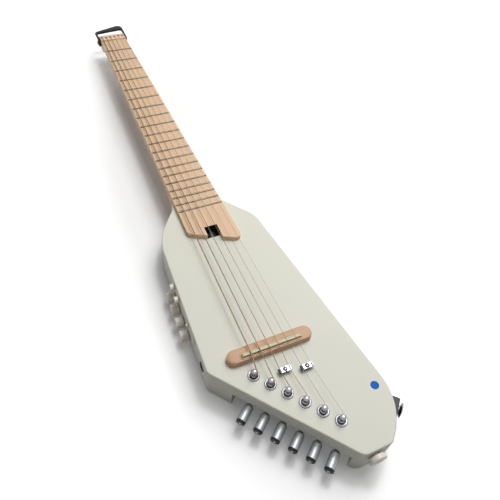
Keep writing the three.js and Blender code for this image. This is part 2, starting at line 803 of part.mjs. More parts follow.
// Each level lies between the crest and the rim: out is 1 at the rim and 0 at the crest
function crownLevel(out, up) {
  const mix = (crest, rim) => crest + (rim - crest) * out;
  return bridgeLevel(mix(crestY[0], rimY[0]), mix(crestY[1], rimY[1]), mix(crestX[0], rimX[0]),
    mix(crestX[1], rimX[1]), rimTop + (bridgeTop - rimTop) * up);
}
const bridgeBlank = solid(skin([
  bridgeLevel(...rimY, ...rimX, bodyThickness),
  ...bridgeCrownShares.map(([out, up]) => crownLevel(out, up)),
  crownLevel(0, 1),
]));
const saddleSlot = block(saddleX0 - clearance, saddleX1 + clearance, saddleY0 - clearance,
  saddleY1 + clearance, slotFloor, bridgeTop + cutOverrun);
place(guitar, "bridge", bridgeBlank.subtract(saddleSlot), bridgeWood);

// String trees, each with its screw
const treeScrewHoles = [];
trees.forEach(({ x, y }, i) => {
  const plateFloor = bodyThickness + treeStringHeight + stringDiameter(i === 0 ? 2 : 4) / 2 + stringRestGap;
  const plateTop = plateFloor + treePlateThickness;
  const half = treePlateLength / 2;
  const profile = [
    [-half, plateFloor - treeWingDrop], [-treeHalf, plateFloor - treeWingDrop], [-treeHalf, plateFloor],
    [treeHalf, plateFloor], [treeHalf, plateFloor - treeWingDrop], [half, plateFloor - treeWingDrop],
    [half, plateTop - treePlateThickness / 2], [half - treePlateThickness / 2, plateTop],
    [-half + treePlateThickness / 2, plateTop], [-half, plateTop - treePlateThickness / 2],
  ].map(([px, pz]) => new THREE.Vector2(px, pz));
  const settings = { depth: treePlateWidth, bevelEnabled: false };
  const plate = solid(new THREE.ExtrudeGeometry(new THREE.Shape(profile), settings)
    .rotateX(Math.PI / 2).translate(x, y + treePlateWidth / 2, 0));
  const top = v(x, y, plateTop + treeScrewHeadHeight);
  const head = rod(treeScrewHeadDiameter / 2, v(x, y, plateTop - treePlateThickness / 2), top, coarseSides);
  const foot = rod(treeFootDiameter / 2, v(x, y, bodyThickness + clearance),
    v(x, y, plateTop - treePlateThickness / 2), coarseSides);
  const shank = rod(treeScrewDiameter / 2, v(x, y, bodyThickness - treeScrewBite),
    v(x, y, plateTop - treePlateThickness / 2), coarseSides);
  place(guitar, "string_tree_" + (i + 1), union([plate, head, foot, shank]), chrome);
  treeScrewHoles.push(rod(treeScrewDiameter / 2 + clearance,
    v(x, y, bodyThickness - treeScrewBite - clearance), v(x, y, bodyThickness + cutOverrun), coarseSides));
});

// Fretboard with its frets pressed in
const boardHalfAt = (y) => boardWidthAt(y) / 2;
const headHalf = nutBoardWidth / 2;
const boardPoints = roundedPoints([
  [-boardHalfAt(saddleToBoardBassCorner), saddleToBoardBassCorner, boardBassCornerRadius],
  [boardHalfAt(saddleToBoardTrebleCorner), saddleToBoardTrebleCorner, boardTrebleCornerRadius],
  [headHalf, nutY, 0], [headHalf, headEndY, 0], [-headHalf, headEndY, 0], [-headHalf, nutY, 0],
]);
function fret(n) {
  const y = fretY(n);
  const half = boardHalfAt(y) - fretEndInset;
  const halfWire = fretWireWidth / 2;
  const crown = fretCrownShares.map(([across, up]) =>
    new THREE.Vector2(across * halfWire, up * fretWireHeight));
  crown.push(new THREE.Vector2(-halfWire, -fretTang), new THREE.Vector2(halfWire, -fretTang));
  const settings = { depth: 2 * half, bevelEnabled: false };
  const geometry = new THREE.ExtrudeGeometry(new THREE.Shape(crown), settings);
  return solid(geometry.rotateX(Math.PI / 2).rotateZ(Math.PI / 2).translate(-half, y, boardTop));
}
const frets = Array.from({ length: fretCount }, (_, n) => fret(n + 1));
const stringHoles = Array.from({ length: stringCount }, (_, i) =>
  rod(stringHoleDiameter / 2, v(spreadPlace(nutStringSpread, i), stringHoleY, ferruleFloor),
    v(spreadPlace(nutStringSpread, i), stringHoleY, boardTop + cutOverrun), tinySides));
const accessX0 = accessShift - accessWidth / 2;
const accessX1 = accessShift + accessWidth / 2;
const accessCut = block(accessX0 - clearance, accessX1 + clearance, saddleToAccess - clearance,
  accessEndY + clearance, bodyThickness - accessDepth - clearance, bodyThickness + cutOverrun);
// The board's notch over the cup is open to its slanted end
const accessNotch = block(accessX0 - clearance, accessX1 + clearance, saddleToBoardTrebleCorner - cutOverrun,
  accessEndY + clearance, bodyThickness - cutOverrun, boardTop + cutOverrun);
const nutSlot = block(-nutHalf - clearance, nutHalf + clearance, nutStart - clearance,
  nutStart + nutThickness + clearance, boardTop - nutSlotDepth, boardTop + cutOverrun);
const fretboard = cut(union([prism(boardPoints, bodyThickness, boardTop), ...frets]),
  [accessNotch, nutSlot, ...stringHoles]);
place(guitar, "fretboard", fretboard, paleWood);

// Neck with its heel, one skin over sections that grow squarer and deeper to the heel
function neckSection(y, grow, depth, power) {
  const half = boardHalfAt(y) + grow;
  const ring = [];
  for (let k = 0; k <= neckSectionSteps; k++) {
    const turn = (Math.PI * k) / neckSectionSteps;
    const bulge = (value) => Math.sign(value) * Math.abs(value) ** (2 / power);
    const down = neckSideWall + (depth - neckSideWall) * Math.abs(Math.sin(turn)) ** (2 / power);
    const edge = k === 0 || k === neckSectionSteps;
    ring.push(v(half * bulge(Math.cos(turn)), y, bodyThickness - (edge ? neckSideWall : down)));
  }
  ring.push(v(-half, y, bodyThickness), v(half, y, bodyThickness));
  return ring;
}
const blend = (a, b, share) => a + (b - a) * share * share * (3 - 2 * share);
const neckRings = [
  neckSection(tenonEndY, 0, heelDepth, heelSquarePower),
  neckSection(heelFull, 0, heelDepth, heelSquarePower),
  ...heelEaseShares.map((share) => neckSection(heelFull + (heelStart - heelFull) * share, 0,
    blend(heelDepth, neckDepthAtBody, share), blend(heelSquarePower, neckRoundPower, share))),
  neckSection(heelStart, 0, neckDepthAtBody, neckRoundPower),
  neckSection(nutY - ferruleBarWidth, 0, neckDepthAtNut, neckRoundPower),
  neckSection(nutY + nutThickness, 0, neckDepthAtNut, headSquarePower),
  neckSection(headEndY, 0, neckDepthAtNut, headSquarePower),
];
const trussChannel = block(-trussRodDiameter / 2 - clearance, trussRodDiameter / 2 + clearance,
  tenonEndY - cutOverrun, nutY - trussRodToNut + clearance,
  trussAxisHeight - trussRodDiameter / 2 - clearance, bodyThickness + cutOverrun);
const boltPlaces = [-1, 1].flatMap((side) => [-1, 1].map((row) =>
  v((side * neckBoltSpacingAcross) / 2, neckPlateY + (row * neckBoltSpacingAlong) / 2, 0)));
const pocketFloor = bodyThickness - heelDepth;
const boltTip = pocketFloor + neckBoltBite;
const boltHoles = boltPlaces.map((p) => rod(neckBoltDiameter / 2 + clearance,
  v(p.x, p.y, -cutOverrun), v(p.x, p.y, boltTip + clearance), hiddenSides));
const ferruleSlot = block(-ferruleBarLength / 2 - clearance, ferruleBarLength / 2 + clearance,
  stringHoleY - ferruleBarWidth / 2 - clearance, stringHoleY + ferruleBarWidth / 2 + clearance,
  ferruleFloor - ferruleBarRecess - cutOverrun, ferruleThroatTop + clearance);
const loopScrewY = headEndY - loopScrewFromEnd;
const loopScrewZ = bodyThickness - loopScrewDrop;
const loopOuterHalf = headHalf + clearance + loopLegThickness;
const loopScrewHole = (side, radius, from, to) => rod(radius, v(side * from, loopScrewY, loopScrewZ),
  v(side * to, loopScrewY, loopScrewZ), coarseSides);
const loopScrewTip = loopOuterHalf - loopScrewLength;
const screwBores = [-1, 1].map((side) => loopScrewHole(side, loopScrewDiameter / 2 + clearance,
  loopScrewTip - clearance, loopOuterHalf + cutOverrun));
const neck = cut(solid(skin(neckRings)),
  [trussChannel, ferruleSlot, ...boltHoles, ...stringHoles, ...screwBores]);
place(guitar, "neck", neck, paleWood);

// Truss rod, its nut and the cup round the nut
const accessMiddle = 0;
const trussNutY = saddleToAccess + trussNutFromCup;
place(guitar, "truss_rod", union([
  rod(trussRodDiameter / 2, v(accessMiddle, tenonEndY + clearance, trussAxisHeight),
    v(accessMiddle, nutY - trussRodToNut, trussAxisHeight), coarseSides),
  rod(trussThreadDiameter / 2, v(accessMiddle, trussNutY + trussNutHoleDepth + clearance, trussAxisHeight),
    v(accessMiddle, tenonEndY + trussRodDiameter, trussAxisHeight), coarseSides),
]), steel);
const trussNutBore = trussThreadDiameter / 2 + clearance;
place(guitar, "truss_rod_nut", cut(
  rod(trussNutDiameter / 2, v(accessMiddle, trussNutY, trussAxisHeight),
    v(accessMiddle, trussNutY + trussNutLength, trussAxisHeight), tubeSides),
  [
    rod(trussNutHoleDiameter / 2, v(accessMiddle, trussNutY - cutOverrun, trussAxisHeight),
      v(accessMiddle, trussNutY + trussNutHoleDepth, trussAxisHeight), tubeSides),
    rod(trussNutBore, v(accessMiddle, trussNutY + trussNutHoleDepth, trussAxisHeight),
      v(accessMiddle, trussNutY + trussNutLength + cutOverrun, trussAxisHeight), coarseSides),
  ],
), steel);
const cupFloor = bodyThickness - accessDepth;
place(guitar, "truss_access_cup", cut(
  block(accessX0, accessX1, saddleToAccess, accessEndY, cupFloor, bodyThickness - clearance),
  [
    block(accessX0 + cupWall, accessX1 - cupWall, saddleToAccess + cupWall, accessEndY - cupWall,
      cupFloor + cupWall, bodyThickness + cutOverrun),
    rod(trussNutBore + clearance, v(accessMiddle, accessEndY - 2 * cupWall, trussAxisHeight),
      v(accessMiddle, accessEndY + cutOverrun, trussAxisHeight), coarseSides),
  ],
), blackPlastic);

// Neck plate with its four bolts, let into the back
const plateCorners = (half, halfLength, radius) => roundedPoints([
  [-half, neckPlateY - halfLength, radius], [half, neckPlateY - halfLength, radius],
  [half, neckPlateY + halfLength, radius], [-half, neckPlateY + halfLength, radius],
]);
const plateFloor = clearance;
place(guitar, "neck_plate_with_bolts", union([
  prism(plateCorners(neckPlateWidth / 2, neckPlateLength / 2, neckPlateCorner), plateFloor,
    plateFloor + neckPlateThickness),
  ...boltPlaces.map((p) =>
    rod(neckBoltDiameter / 2, v(p.x, p.y, plateFloor), v(p.x, p.y, boltTip), hiddenSides)),
]), chrome);
const plateRecess = prism(
  plateCorners(neckPlateWidth / 2 + clearance, neckPlateLength / 2 + clearance, neckPlateCorner + clearance),
  -cutOverrun, plateFloor + neckPlateThickness + clearance);

// Hanging loop round the end of the head, held by two screws
const loopTop = boardTop - loopTopDrop;
const loopFloor = loopTop - loopPlateThickness;
const loopFootY = headEndY - loopLegReach;
const loopOuter = roundedPoints([
  [-loopOuterHalf, loopFootY, loopInnerCorner], [loopOuterHalf, loopFootY, loopInnerCorner],
  [loopOuterHalf, headEndY + loopTrebleReach, loopTrebleCorner],
  [-loopOuterHalf, headEndY + loopBassReach, loopBassCorner],
]);
const loopInnerHalf = headHalf + clearance;
const loopInner = roundedPoints([
  [-loopInnerHalf, loopFootY - cutOverrun, 0], [loopInnerHalf, loopFootY - cutOverrun, 0],
  [loopInnerHalf, headEndY + loopTrebleGap, loopInnerCorner],
  [-loopInnerHalf, headEndY + loopBassGap, loopInnerCorner],
]);
const loopRing = prism(loopOuter, loopFloor, loopTop)
  .subtract(prism(loopInner, loopFloor - cutOverrun, loopTop + cutOverrun));
const ears = [-1, 1].map((side) => {
  const [x0, x1] = side < 0 ? [-loopOuterHalf, -loopInnerHalf] : [loopInnerHalf, loopOuterHalf];
  return block(x0, x1, loopFootY + clearance, headEndY - clearance, loopTop - loopEarHeight,
    loopFloor + clearance);
});
place(guitar, "hanging_loop", cut(union([loopRing, ...ears]), screwBores), blackPlastic);
[-1, 1].forEach((side) => {
  const head = loopScrewHole(side, loopScrewHeadDiameter / 2, loopOuterHalf + clearance,
    loopOuterHalf + clearance + loopScrewHeadThickness);
  const shank = loopScrewHole(side, loopScrewDiameter / 2, loopScrewTip, loopOuterHalf + 2 * clearance);
  place(guitar, side < 0 ? "loop_screw_bass" : "loop_screw_treble", head.add(shank), steel);
});

// Knobs, buttons and sockets of the bass wall, in its frame, where the outer face is at zero
const bassWallParts = [];
function knob(diameter, length, shaftDiameter, along, height) {
  const r = diameter / 2;
  const tip = boardPlateInset - clearance - knobWallGap;
  return turned([
    [0, -knobWallGap - length], [r - knobEdge, -knobWallGap - length], [r, -knobWallGap - length + knobEdge],
    [r, -knobWallGap], [shaftDiameter / 2, -knobWallGap], [shaftDiameter / 2, tip], [0, tip],
  ], v(0, along, height), xAxis, coarseSides);
}
const pots = [];
const potBores = [];
function addPot(canDiameter, bushingDiameterHere, shaftDiameter, along, height) {
  const canFront = boardPlateInset - potDepth;
  pots.push(rod(canDiameter / 2, v(canFront, along, height),
    v(boardPlateInset + clearance, along, height), hiddenSides));
  pots.push(rod(bushingDiameterHere / 2, v(clearance, along, height),
    v(canFront + clearance, along, height), hiddenSides));
  potBores.push(rod(shaftDiameter / 2 + clearance, v(-cutOverrun, along, height),
    v(boardPlateInset - clearance, along, height), hiddenSides));
  bassWallParts.push(rod(bushingDiameterHere / 2 + clearance, v(-cutOverrun, along, height),
    v(wallThickness + cutOverrun, along, height), hiddenSides));
}
const knobNames = ["reverb_knob", "treble_knob", "bass_knob", "volume_knob"];
for (let i = 0; i < knobCount; i++) {
  place(bassWall, knobNames[i],
    knob(knobDiameter, knobLength, knobShaftDiameter, knobAlong(i), knobRowHeight), creamPlastic);
  addPot(potDiameter, knobBushingDiameter, knobShaftDiameter, knobAlong(i), knobRowHeight);
}
["mix_knob", "gain_knob"].forEach((name, i) => {
  const along = knobAlong(knobCount - 2 + i);
  place(bassWall, name,
    knob(smallKnobDiameter, smallKnobLength, smallShaftDiameter, along, smallRowHeight), creamPlastic);
  addPot(smallPotDiameter, smallBushingDiameter, smallShaftDiameter, along, smallRowHeight);
});

// Push button: its head stands off the wall by more than its travel
const pushGap = pushButtonTravel + clearance;
const switchFront = boardPlateInset - switchSize;
const plungerTip = switchFront + switchSize / 2;
place(bassWall, "power_button", turned([
  [0, -pushGap - pushButtonLength], [pushButtonDiameter / 2, -pushGap - pushButtonLength],
  [pushButtonDiameter / 2, -pushGap], [plungerDiameter / 2, -pushGap],
  [plungerDiameter / 2, plungerTip], [0, plungerTip],
], v(0, pushButtonAlong, pushButtonHeight), xAxis, coarseSides), creamPlastic);
pots.push(block(switchFront, boardPlateInset + clearance, pushButtonAlong - switchSize / 2,
  pushButtonAlong + switchSize / 2, pushButtonHeight - switchSize / 2, pushButtonHeight + switchSize / 2));
potBores.push(rod(plungerDiameter / 2 + clearance, v(-cutOverrun, pushButtonAlong, pushButtonHeight),
  v(plungerTip + pushGap, pushButtonAlong, pushButtonHeight), coarseSides));
bassWallParts.push(rod(plungerDiameter / 2 + clearance, v(-cutOverrun, pushButtonAlong, pushButtonHeight),
  v(wallThickness + cutOverrun, pushButtonAlong, pushButtonHeight), coarseSides));

const cavityTop = bodyThickness - cavityCeiling;
const coverTop = clearance + coverThickness;
const plateEdge = cavityStart + boardPlateEndGap;
const preampPlate = block(boardPlateInset, boardPlateInset + boardPlateThickness, plateEdge,
  cavityEnd - boardPlateEndGap, coverTop + clearance, cavityTop - clearance);
place(bassWall, "preamp_board", cut(union([preampPlate, ...pots]), potBores), boardGreen);

// Headphone socket
const headphoneRingTop = -clearance - headphoneRingThickness;
place(bassWall, "headphone_socket", turned([
  [headphoneBore / 2, headphoneRingTop], [headphoneRingDiameter / 2, headphoneRingTop],
  [headphoneRingDiameter / 2, -clearance], [headphoneBodyDiameter / 2, -clearance],
  [headphoneBodyDiameter / 2, headphoneBodyLength], [headphoneBore / 2, headphoneBodyLength],
  [headphoneBore / 2, headphoneRingTop],
], v(0, headphoneAlong, smallRowHeight), xAxis, coarseSides), creamPlastic);
bassWallParts.push(rod(headphoneBodyDiameter / 2 + clearance, v(-cutOverrun, headphoneAlong, smallRowHeight),
  v(headphoneBodyLength + clearance, headphoneAlong, smallRowHeight), coarseSides));

// Output jack behind its dished round plate
const dishFloor = jackPlateDish;
const jackNutTop = dishFloor - jackNutThickness;
place(bassWall, "jack_plate", turned([
  [jackBarrelDiameter / 2 + clearance, dishFloor], [jackNutDiameter / 2 + clearance, dishFloor],
  [jackPlateDiameter / 2 - jackPlateDish, -clearance], [jackPlateDiameter / 2, -clearance],
  [jackPlateDiameter / 2, jackPlateThickness], [jackBarrelDiameter / 2 + clearance, jackPlateThickness],
  [jackBarrelDiameter / 2 + clearance, dishFloor],
], v(0, jackAlong, jackHeight), xAxis, fineSides), creamPlastic);
const jackBodyFront = jackPlateThickness + clearance;
place(bassWall, "output_jack", turned([
  [jackBore / 2, jackNutTop - clearance], [jackNutDiameter / 2, jackNutTop - clearance],
  [jackNutDiameter / 2, dishFloor - clearance], [jackBarrelDiameter / 2, dishFloor - clearance],
  [jackBarrelDiameter / 2, jackBodyFront], [jackBodyDiameter / 2, jackBodyFront],
  [jackBodyDiameter / 2, jackBodyFront + jackBodyLength], [jackBore / 2, jackBodyFront + jackBodyLength],
  [jackBore / 2, jackNutTop - clearance],
], v(0, jackAlong, jackHeight), xAxis, coarseSides), blackPlastic);
bassWallParts.push(
  rod(jackPlateDiameter / 2 + clearance, v(-cutOverrun, jackAlong, jackHeight),
    v(jackPlateThickness + clearance, jackAlong, jackHeight), fineSides),
  rod(jackBodyDiameter / 2 + clearance, v(0, jackAlong, jackHeight),
    v(jackBodyFront + jackBodyLength + clearance, jackAlong, jackHeight), coarseSides),
  rod(wireBoreDiameter / 2, v(jackBodyDiameter, jackAlong, jackHeight),
    v(jackBodyDiameter, cavityStart + cutOverrun, jackHeight), coarseSides),
  rod(wireBoreDiameter / 2, v(wireBoreInset, 0, jackHeight),
    v(wireBoreInset, cavityStart + cutOverrun, jackHeight), coarseSides),
);

// Battery, its clip, the control cavity and its cover
const batteryFloor = coverTop + clearance;
const batteryX1 = batteryInset + batteryWidth;
const batteryEnd = batteryAlong + batteryLength;
place(bassWall, "battery_with_clip", union([
  block(batteryInset, batteryX1, batteryAlong, batteryEnd, batteryFloor, batteryFloor + batteryHeight),
  block(batteryInset + batteryClipThickness, batteryX1 - batteryClipThickness, batteryEnd - clearance,
    batteryEnd + batteryClipThickness, batteryFloor + batteryClipThickness,
    batteryFloor + batteryHeight - batteryClipThickness),
]), blackPlastic);
const cavity = block(wallThickness, cavityInner, cavityStart, cavityEnd, -cutOverrun, cavityTop);
const coverX0 = wallThickness - coverWallLedge;
const coverX1 = cavityInner + coverLedge;
const coverPoints = (grow) => roundedPoints([
  [coverX0 - grow, cavityStart - coverLedge - grow, coverCorner],
  [coverX1 + grow, cavityStart - coverLedge - grow, coverCorner],
  [coverX1 + grow, cavityEnd + coverLedge + grow, coverCorner],
  [coverX0 - grow, cavityEnd + coverLedge + grow, coverCorner],
]);
const coverRecess = prism(coverPoints(clearance), -cutOverrun, coverTop + clearance);
const coverScrewInset = coverX1 - coverLedge / 2;
const coverScrews = [cavityStart + coverLedge, cavityEnd - coverLedge].map((along) =>
  v(coverScrewInset, along, clearance));
const coverScrewShaft = (p, grow) => union([
  rod(coverScrewHeadDiameter / 2 + grow, v(p.x, p.y, p.z - (grow ? cutOverrun : 0)),
    v(p.x, p.y, p.z + coverScrewHeadThickness + grow), coarseSides),
  rod(coverScrewDiameter / 2 + grow, p,
    v(p.x, p.y, p.z + coverThickness + coverScrewBite + grow), coarseSides),
]);
place(bassWall, "back_cover", cut(prism(coverPoints(0), clearance, coverTop),
  coverScrews.map((p) => coverScrewShaft(p, clearance))), creamPlastic);
coverScrews.forEach((p, i) => {
  place(bassWall, "cover_screw_" + (i + 1), coverScrewShaft(p, 0), steel);
});
bassWallParts.push(cavity, coverRecess,
  ...coverScrews.map((p) => rod(coverScrewDiameter / 2 + clearance, p,
    v(p.x, p.y, p.z + coverThickness + coverScrewBite + clearance), coarseSides)));

// Strap block on the treble corner, its button, and the button on the short tail wall
const chamferPoint = cornerPoint(bodyCornerShares.trebleCut);
const strapPoint = cornerPoint(bodyCornerShares.strapCorner);
const faceAlong = strapPoint.clone().sub(chamferPoint).normalize();
const faceOut = v(faceAlong.y, -faceAlong.x, 0);
const blockTip = strapPoint.clone().addScaledVector(faceAlong, strapBlockTip);
const blockFoot = blockTip.clone().addScaledVector(faceAlong, -strapBlockSpan);
const blockBack = blockTip.clone().addScaledVector(faceOut, -strapBlockReturn);
const strapMiddle = strapBlockBase + strapBlockHeight / 2;
const outline = roundedPoints(bodyCorners);
const wallCutter = prism(outline, -cutOverrun, bodyThickness + cutOverrun)
  .translate([faceOut.x * clearance, faceOut.y * clearance, 0]);
const blockPoints = [blockTip, blockBack, blockFoot].map((p) => new THREE.Vector2(p.x, p.y));
const strapSeat = blockTip.clone().addScaledVector(faceAlong, -strapBlockSpan * strapSeatShare);
strapSeat.z = strapMiddle;
const fromSeat = (distance) => strapSeat.clone().addScaledVector(faceOut, distance);
const strapScrewBore = rod(strapScrewDiameter / 2 + clearance, fromSeat(-strapScrewLength - clearance),
  fromSeat(cutOverrun), coarseSides);
place(guitar, "strap_block", cut(
  prism(blockPoints, strapBlockBase, strapBlockBase + strapBlockHeight),
  [wallCutter, strapScrewBore],
), blackPlastic);
place(guitar, "strap_button", turned([
  [0, -strapScrewLength], [strapScrewDiameter / 2, -strapScrewLength], [strapScrewDiameter / 2, clearance],
  [strapButtonNeck / 2, clearance], [strapButtonNeck / 2, strapButtonNeckLength],
  ...strapHeadProfileShares.map(([across, up]) =>
    [strapButtonHead * across, strapButtonNeckLength + strapButtonHeadLength * up]),
], strapSeat, faceOut, fineSides), blackPlastic);

const endSeat = v(endButtonFromMiddle, chamferPoint.y, endButtonHeight);
const endOut = yAxis.clone().negate();
const headTop = endButtonNeckLength + endButtonHeadLength;
place(guitar, "end_button", turned([
  [0, -strapScrewLength], [strapScrewDiameter / 2, -strapScrewLength], [strapScrewDiameter / 2, clearance],
  [endButtonNeck / 2, clearance], [endButtonNeck / 2, endButtonNeckLength],
  [endButtonHead / 2, endButtonNeckLength + endButtonDimple], [endButtonHead / 2, headTop - endButtonDimple],
  [endButtonHead / 2 - endButtonDimple, headTop], [endButtonDimpleDiameter / 2, headTop],
  [endButtonDimpleDiameter / 2, headTop - endButtonDimple], [0, headTop - endButtonDimple],
], endSeat, endOut, fineSides), creamPlastic);
const endScrewBore = rod(strapScrewDiameter / 2 + clearance,
  v(endSeat.x, endSeat.y + strapScrewLength + clearance, endSeat.z),
  v(endSeat.x, endSeat.y - cutOverrun, endSeat.z), coarseSides);

// Round marker let into the top
const marker = cornerPoint(markerPlaceShares).setZ(bodyThickness - markerThickness + markerRise);
place(guitar, "round_marker", rod(markerDiameter / 2, marker,
  v(marker.x, marker.y, bodyThickness + markerRise), fineSides), blueEnamel);
const markerRecess = rod(markerDiameter / 2 + clearance, v(marker.x, marker.y, marker.z - clearance),
  v(marker.x, marker.y, bodyThickness + cutOverrun), fineSides);

// Body
const pocketY1 = heelStart;
const pocket = prism([
  new THREE.Vector2(-boardHalfAt(tenonEndY) - clearance, accessEndY),
  new THREE.Vector2(boardHalfAt(tenonEndY) + clearance, accessEndY),
  new THREE.Vector2(boardHalfAt(pocketY1) + clearance, pocketY1),
  new THREE.Vector2(-boardHalfAt(pocketY1) - clearance, pocketY1),
], pocketFloor - clearance, bodyThickness + cutOverrun);
const rebate = block(-cutOverrun, rebateDepth, tailWallLength - rebateEnd, tailWallLength - rebateStart,
  -cutOverrun, tailPlateFloor);
const body = cut(softPrism(outline, 0, bodyThickness, bodyEdgeRound, 2), [
  pocket, accessCut, plateRecess, ...boltHoles, markerRecess, strapScrewBore, endScrewBore,
  ...treeScrewHoles,
  inFrame(tailWall, rebate),
  ...tunerRecesses.map((made) => inFrame(tailWall, made)),
  ...bassWallParts.map((made) => inFrame(bassWall, made)),
]);
place(guitar, "body", body, bodyPaint);

export default guitar;
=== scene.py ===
"""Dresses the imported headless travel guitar: its paint, wood, metal and plastic, and a white studio.

Lengths here are in millimetres until a mesh is made. X runs to the treble side, Y to the head and
Z out of the top. The origin is on the back, under the saddle, on the middle line of the strings.
"""

import bmesh
import bpy
import numpy as np
from mathutils import Matrix


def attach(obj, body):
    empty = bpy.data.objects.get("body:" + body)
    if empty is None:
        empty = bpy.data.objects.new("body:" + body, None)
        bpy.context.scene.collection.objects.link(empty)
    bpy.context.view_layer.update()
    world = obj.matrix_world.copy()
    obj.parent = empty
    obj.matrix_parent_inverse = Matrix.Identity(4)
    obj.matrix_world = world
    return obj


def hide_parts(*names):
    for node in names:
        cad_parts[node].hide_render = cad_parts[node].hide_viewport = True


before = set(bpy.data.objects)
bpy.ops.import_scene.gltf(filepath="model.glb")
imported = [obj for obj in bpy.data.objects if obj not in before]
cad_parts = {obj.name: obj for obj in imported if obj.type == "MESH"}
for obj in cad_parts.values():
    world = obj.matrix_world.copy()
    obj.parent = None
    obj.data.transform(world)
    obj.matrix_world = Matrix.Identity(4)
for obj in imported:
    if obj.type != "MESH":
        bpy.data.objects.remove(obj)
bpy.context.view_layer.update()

bl_info = {
    "name": "Headless travel guitar",
    "version": (1, 0, 0),
    "blender": (4, 5, 0),
    "location": "3D View > Sidebar > Guitar",
    "description": "Builds the visible pieces of a headless travel guitar and a white studio",
    "category": "Add Mesh",
}

MM = 0.001
GAP = 0.3
OVERRUN = 2.0
OVERLAP = 0.05

# Strings and frets
SCALE_LENGTH = 648.0
NUT_Y = 652.0
NUT_THICKNESS = 4.0
FRET_COUNT = 20
STRING_COUNT = 6
STRING_NAMES = ("e_low", "a", "d", "g", "b", "e_high")
STRING_SHARES = (1, 0.81, 0.58, 0.42, 0.29, 0.21)
NUT_SPREAD = 36.0
SADDLE_SPREAD = 49.0
NUT_HALF = 20.9
NUT_TOP = 48.4
NUT_FLOOR = 43.5
NUT_SEAT = 47.6
HOLE_Y = 666.5
HOLE_RADIUS = 1.6
# Width of the dark sleeve in each string hole: painted shade for the shadow in the hole
HOLE_SHADE_WIDTH = 0.4
BALL_RADIUS = 1.5
BALL_CENTRE = 28.9
HEAD_BEND = 1.8
WOUND_STRINGS = 4
FRET_INSET = 0.6
FRET_TANG = 0.3
FRET_END_BEND = 1.1

# Body
BODY_TOP = 40.0
BODY_WIDTH = 160.0
BODY_LENGTH = 355.0
BODY_CORNER_SHARES = np.array([
    (-0.1944, 0.6465, 0.02),
    (-0.2025, 0.6239, 0.0875),
    (-0.3888, 0.5079, 0.49),
    (-0.4331, 0.0007, 0.0625),
    (0.1944, -0.3507, 0.07),
    (0.3819, -0.3507, 0.055),
    (0.5688, -0.2668, 0.385),
    (0.3825, 0.5039, 0.256),
    (0.1975, 0.6146, 0.02),
])
BODY_CORNERS = BODY_CORNER_SHARES * (BODY_WIDTH, BODY_LENGTH, BODY_WIDTH)
REBATE_DEPTH = 31.0
REBATE_ENDS = (28.3, 151.9)

# Back, as boxes of two sides and two ends. The cover and the cavity lie in the bass wall's frame,
# and a screw is the radius of its head and of its shank
CAVITY_BOX = (4.5, 46.0, 50.0, 124.0)
CAVITY_ROOF = 36.6
COVER_BOX = (2.5, 54.0, 42.0, 132.0)
COVER_CORNER = 6.0
COVER_INSIDE = 2.8
COVER_SCREWS = ((50.0, 58.0), (50.0, 116.0))
COVER_SCREW = (3.0, 1.5)
NECK_PLATE_BOX = (-21.0, 21.0, 180.0, 220.0)
NECK_PLATE_CORNER = 4.0
NECK_PLATE_INSIDE = 2.3
BOLTS = ((-15.0, 187.0), (-15.0, 213.0), (15.0, 187.0), (15.0, 213.0))
BOLT_RADIUS = 2.25
BOLT_TIP = 30.0

# Round marker
MARKER = (75.8, -71.6)
MARKER_RADIUS = 4.0
MARKER_DEPTH = 1.6

# Fretboard and neck
BOARD_TOP = 46.0
NUT_WIDTH = 43.0
LAST_FRET_WIDTH = 57.5
HEAD_END = 674.0
BOARD_BASS_END = 170.6
BOARD_TREBLE_END = 142.8
HEEL_DEPTH = 24.0
HEEL_START = 262.0
HEEL_FULL = 238.0
TENON_END = 174.3
NECK_DEPTH_AT_BODY = 17.0
NECK_DEPTH_AT_NUT = 15.0
NECK_WALL = 2.5
HEAD_START = 644.0
HEAD_STEP = 3.0
BOARD_BASS_CORNER = 9.0
BOARD_TREBLE_CORNER = 6.0
ROD_SLOT = (-3.3, 3.3, 170.0, 638.3)
ROD_SLOT_FLOOR = 31.9
BAR_HALF = (20.2, 4.0)
BAR_HEIGHTS = (26.0, 32.0)
BAR_HOLE = 1.0

# Truss rod cup, from side to side and along, and its nut
CUP_SIDES = (-7.7, 7.9)
CUP_ENDS = (161.0, 174.0)
CUP_BOTTOM = 26.0
CUP_WALL = 1.0
CUP_CORNER = 0.8
CUP_RIM = 0.2
ROD_NUT = (0.0, 163.0, 35.2)
ROD_NUT_RADIUS = 4.5
ROD_NUT_LENGTH = 8.0
ROD_NUT_BEVEL = (0.4, 0.5)
ROD_NUT_SOCKET = 2.2
ROD_RADIUS = 2.5
ROD_END = 5.0
# Thickness of the black film of painted shade on the notch walls
SHADE_FILM_THICKNESS = 0.25

# Hanging loop, by its outer and inner half widths, and its foot on the head
LOOP_OUTER = 25.4
LOOP_INNER = 21.8
LOOP_FOOT = 662.0
LOOP_HEIGHTS = (40.5, 44.5)
EAR_END = 673.7
EAR_HEIGHTS = (32.5, 41.5)
LOOP_SCREW = (670.8, 35.5)
LOOP_SCREW_RADIUS = 1.75

# Bridge pad and saddle
PAD_SIDES = (-47.7, 44.9)
PAD_ENDS = (-5.0, 10.9)
PAD_CREST = 47.4
SADDLE_SIDES = (-33.5, 30.9)
SADDLE_ENDS = (-1.7, 2.3)
SADDLE_TOP = 50.3
SADDLE_FOOT = 42.7
SADDLE_SEAT = 50.4
SLOT_FLOOR = 41.5
GROOVE_WIDTH = 1.7
GROOVE_DEPTH = 0.5
GROOVE_CORNER = 2.6
LEDGE_WIDTH = 1.4
LEDGE_CORNER = 2.3
SADDLE_END_BEND = 1.4
SADDLE_END_DROP = 1.1
CREST_WIDTH = 1.9

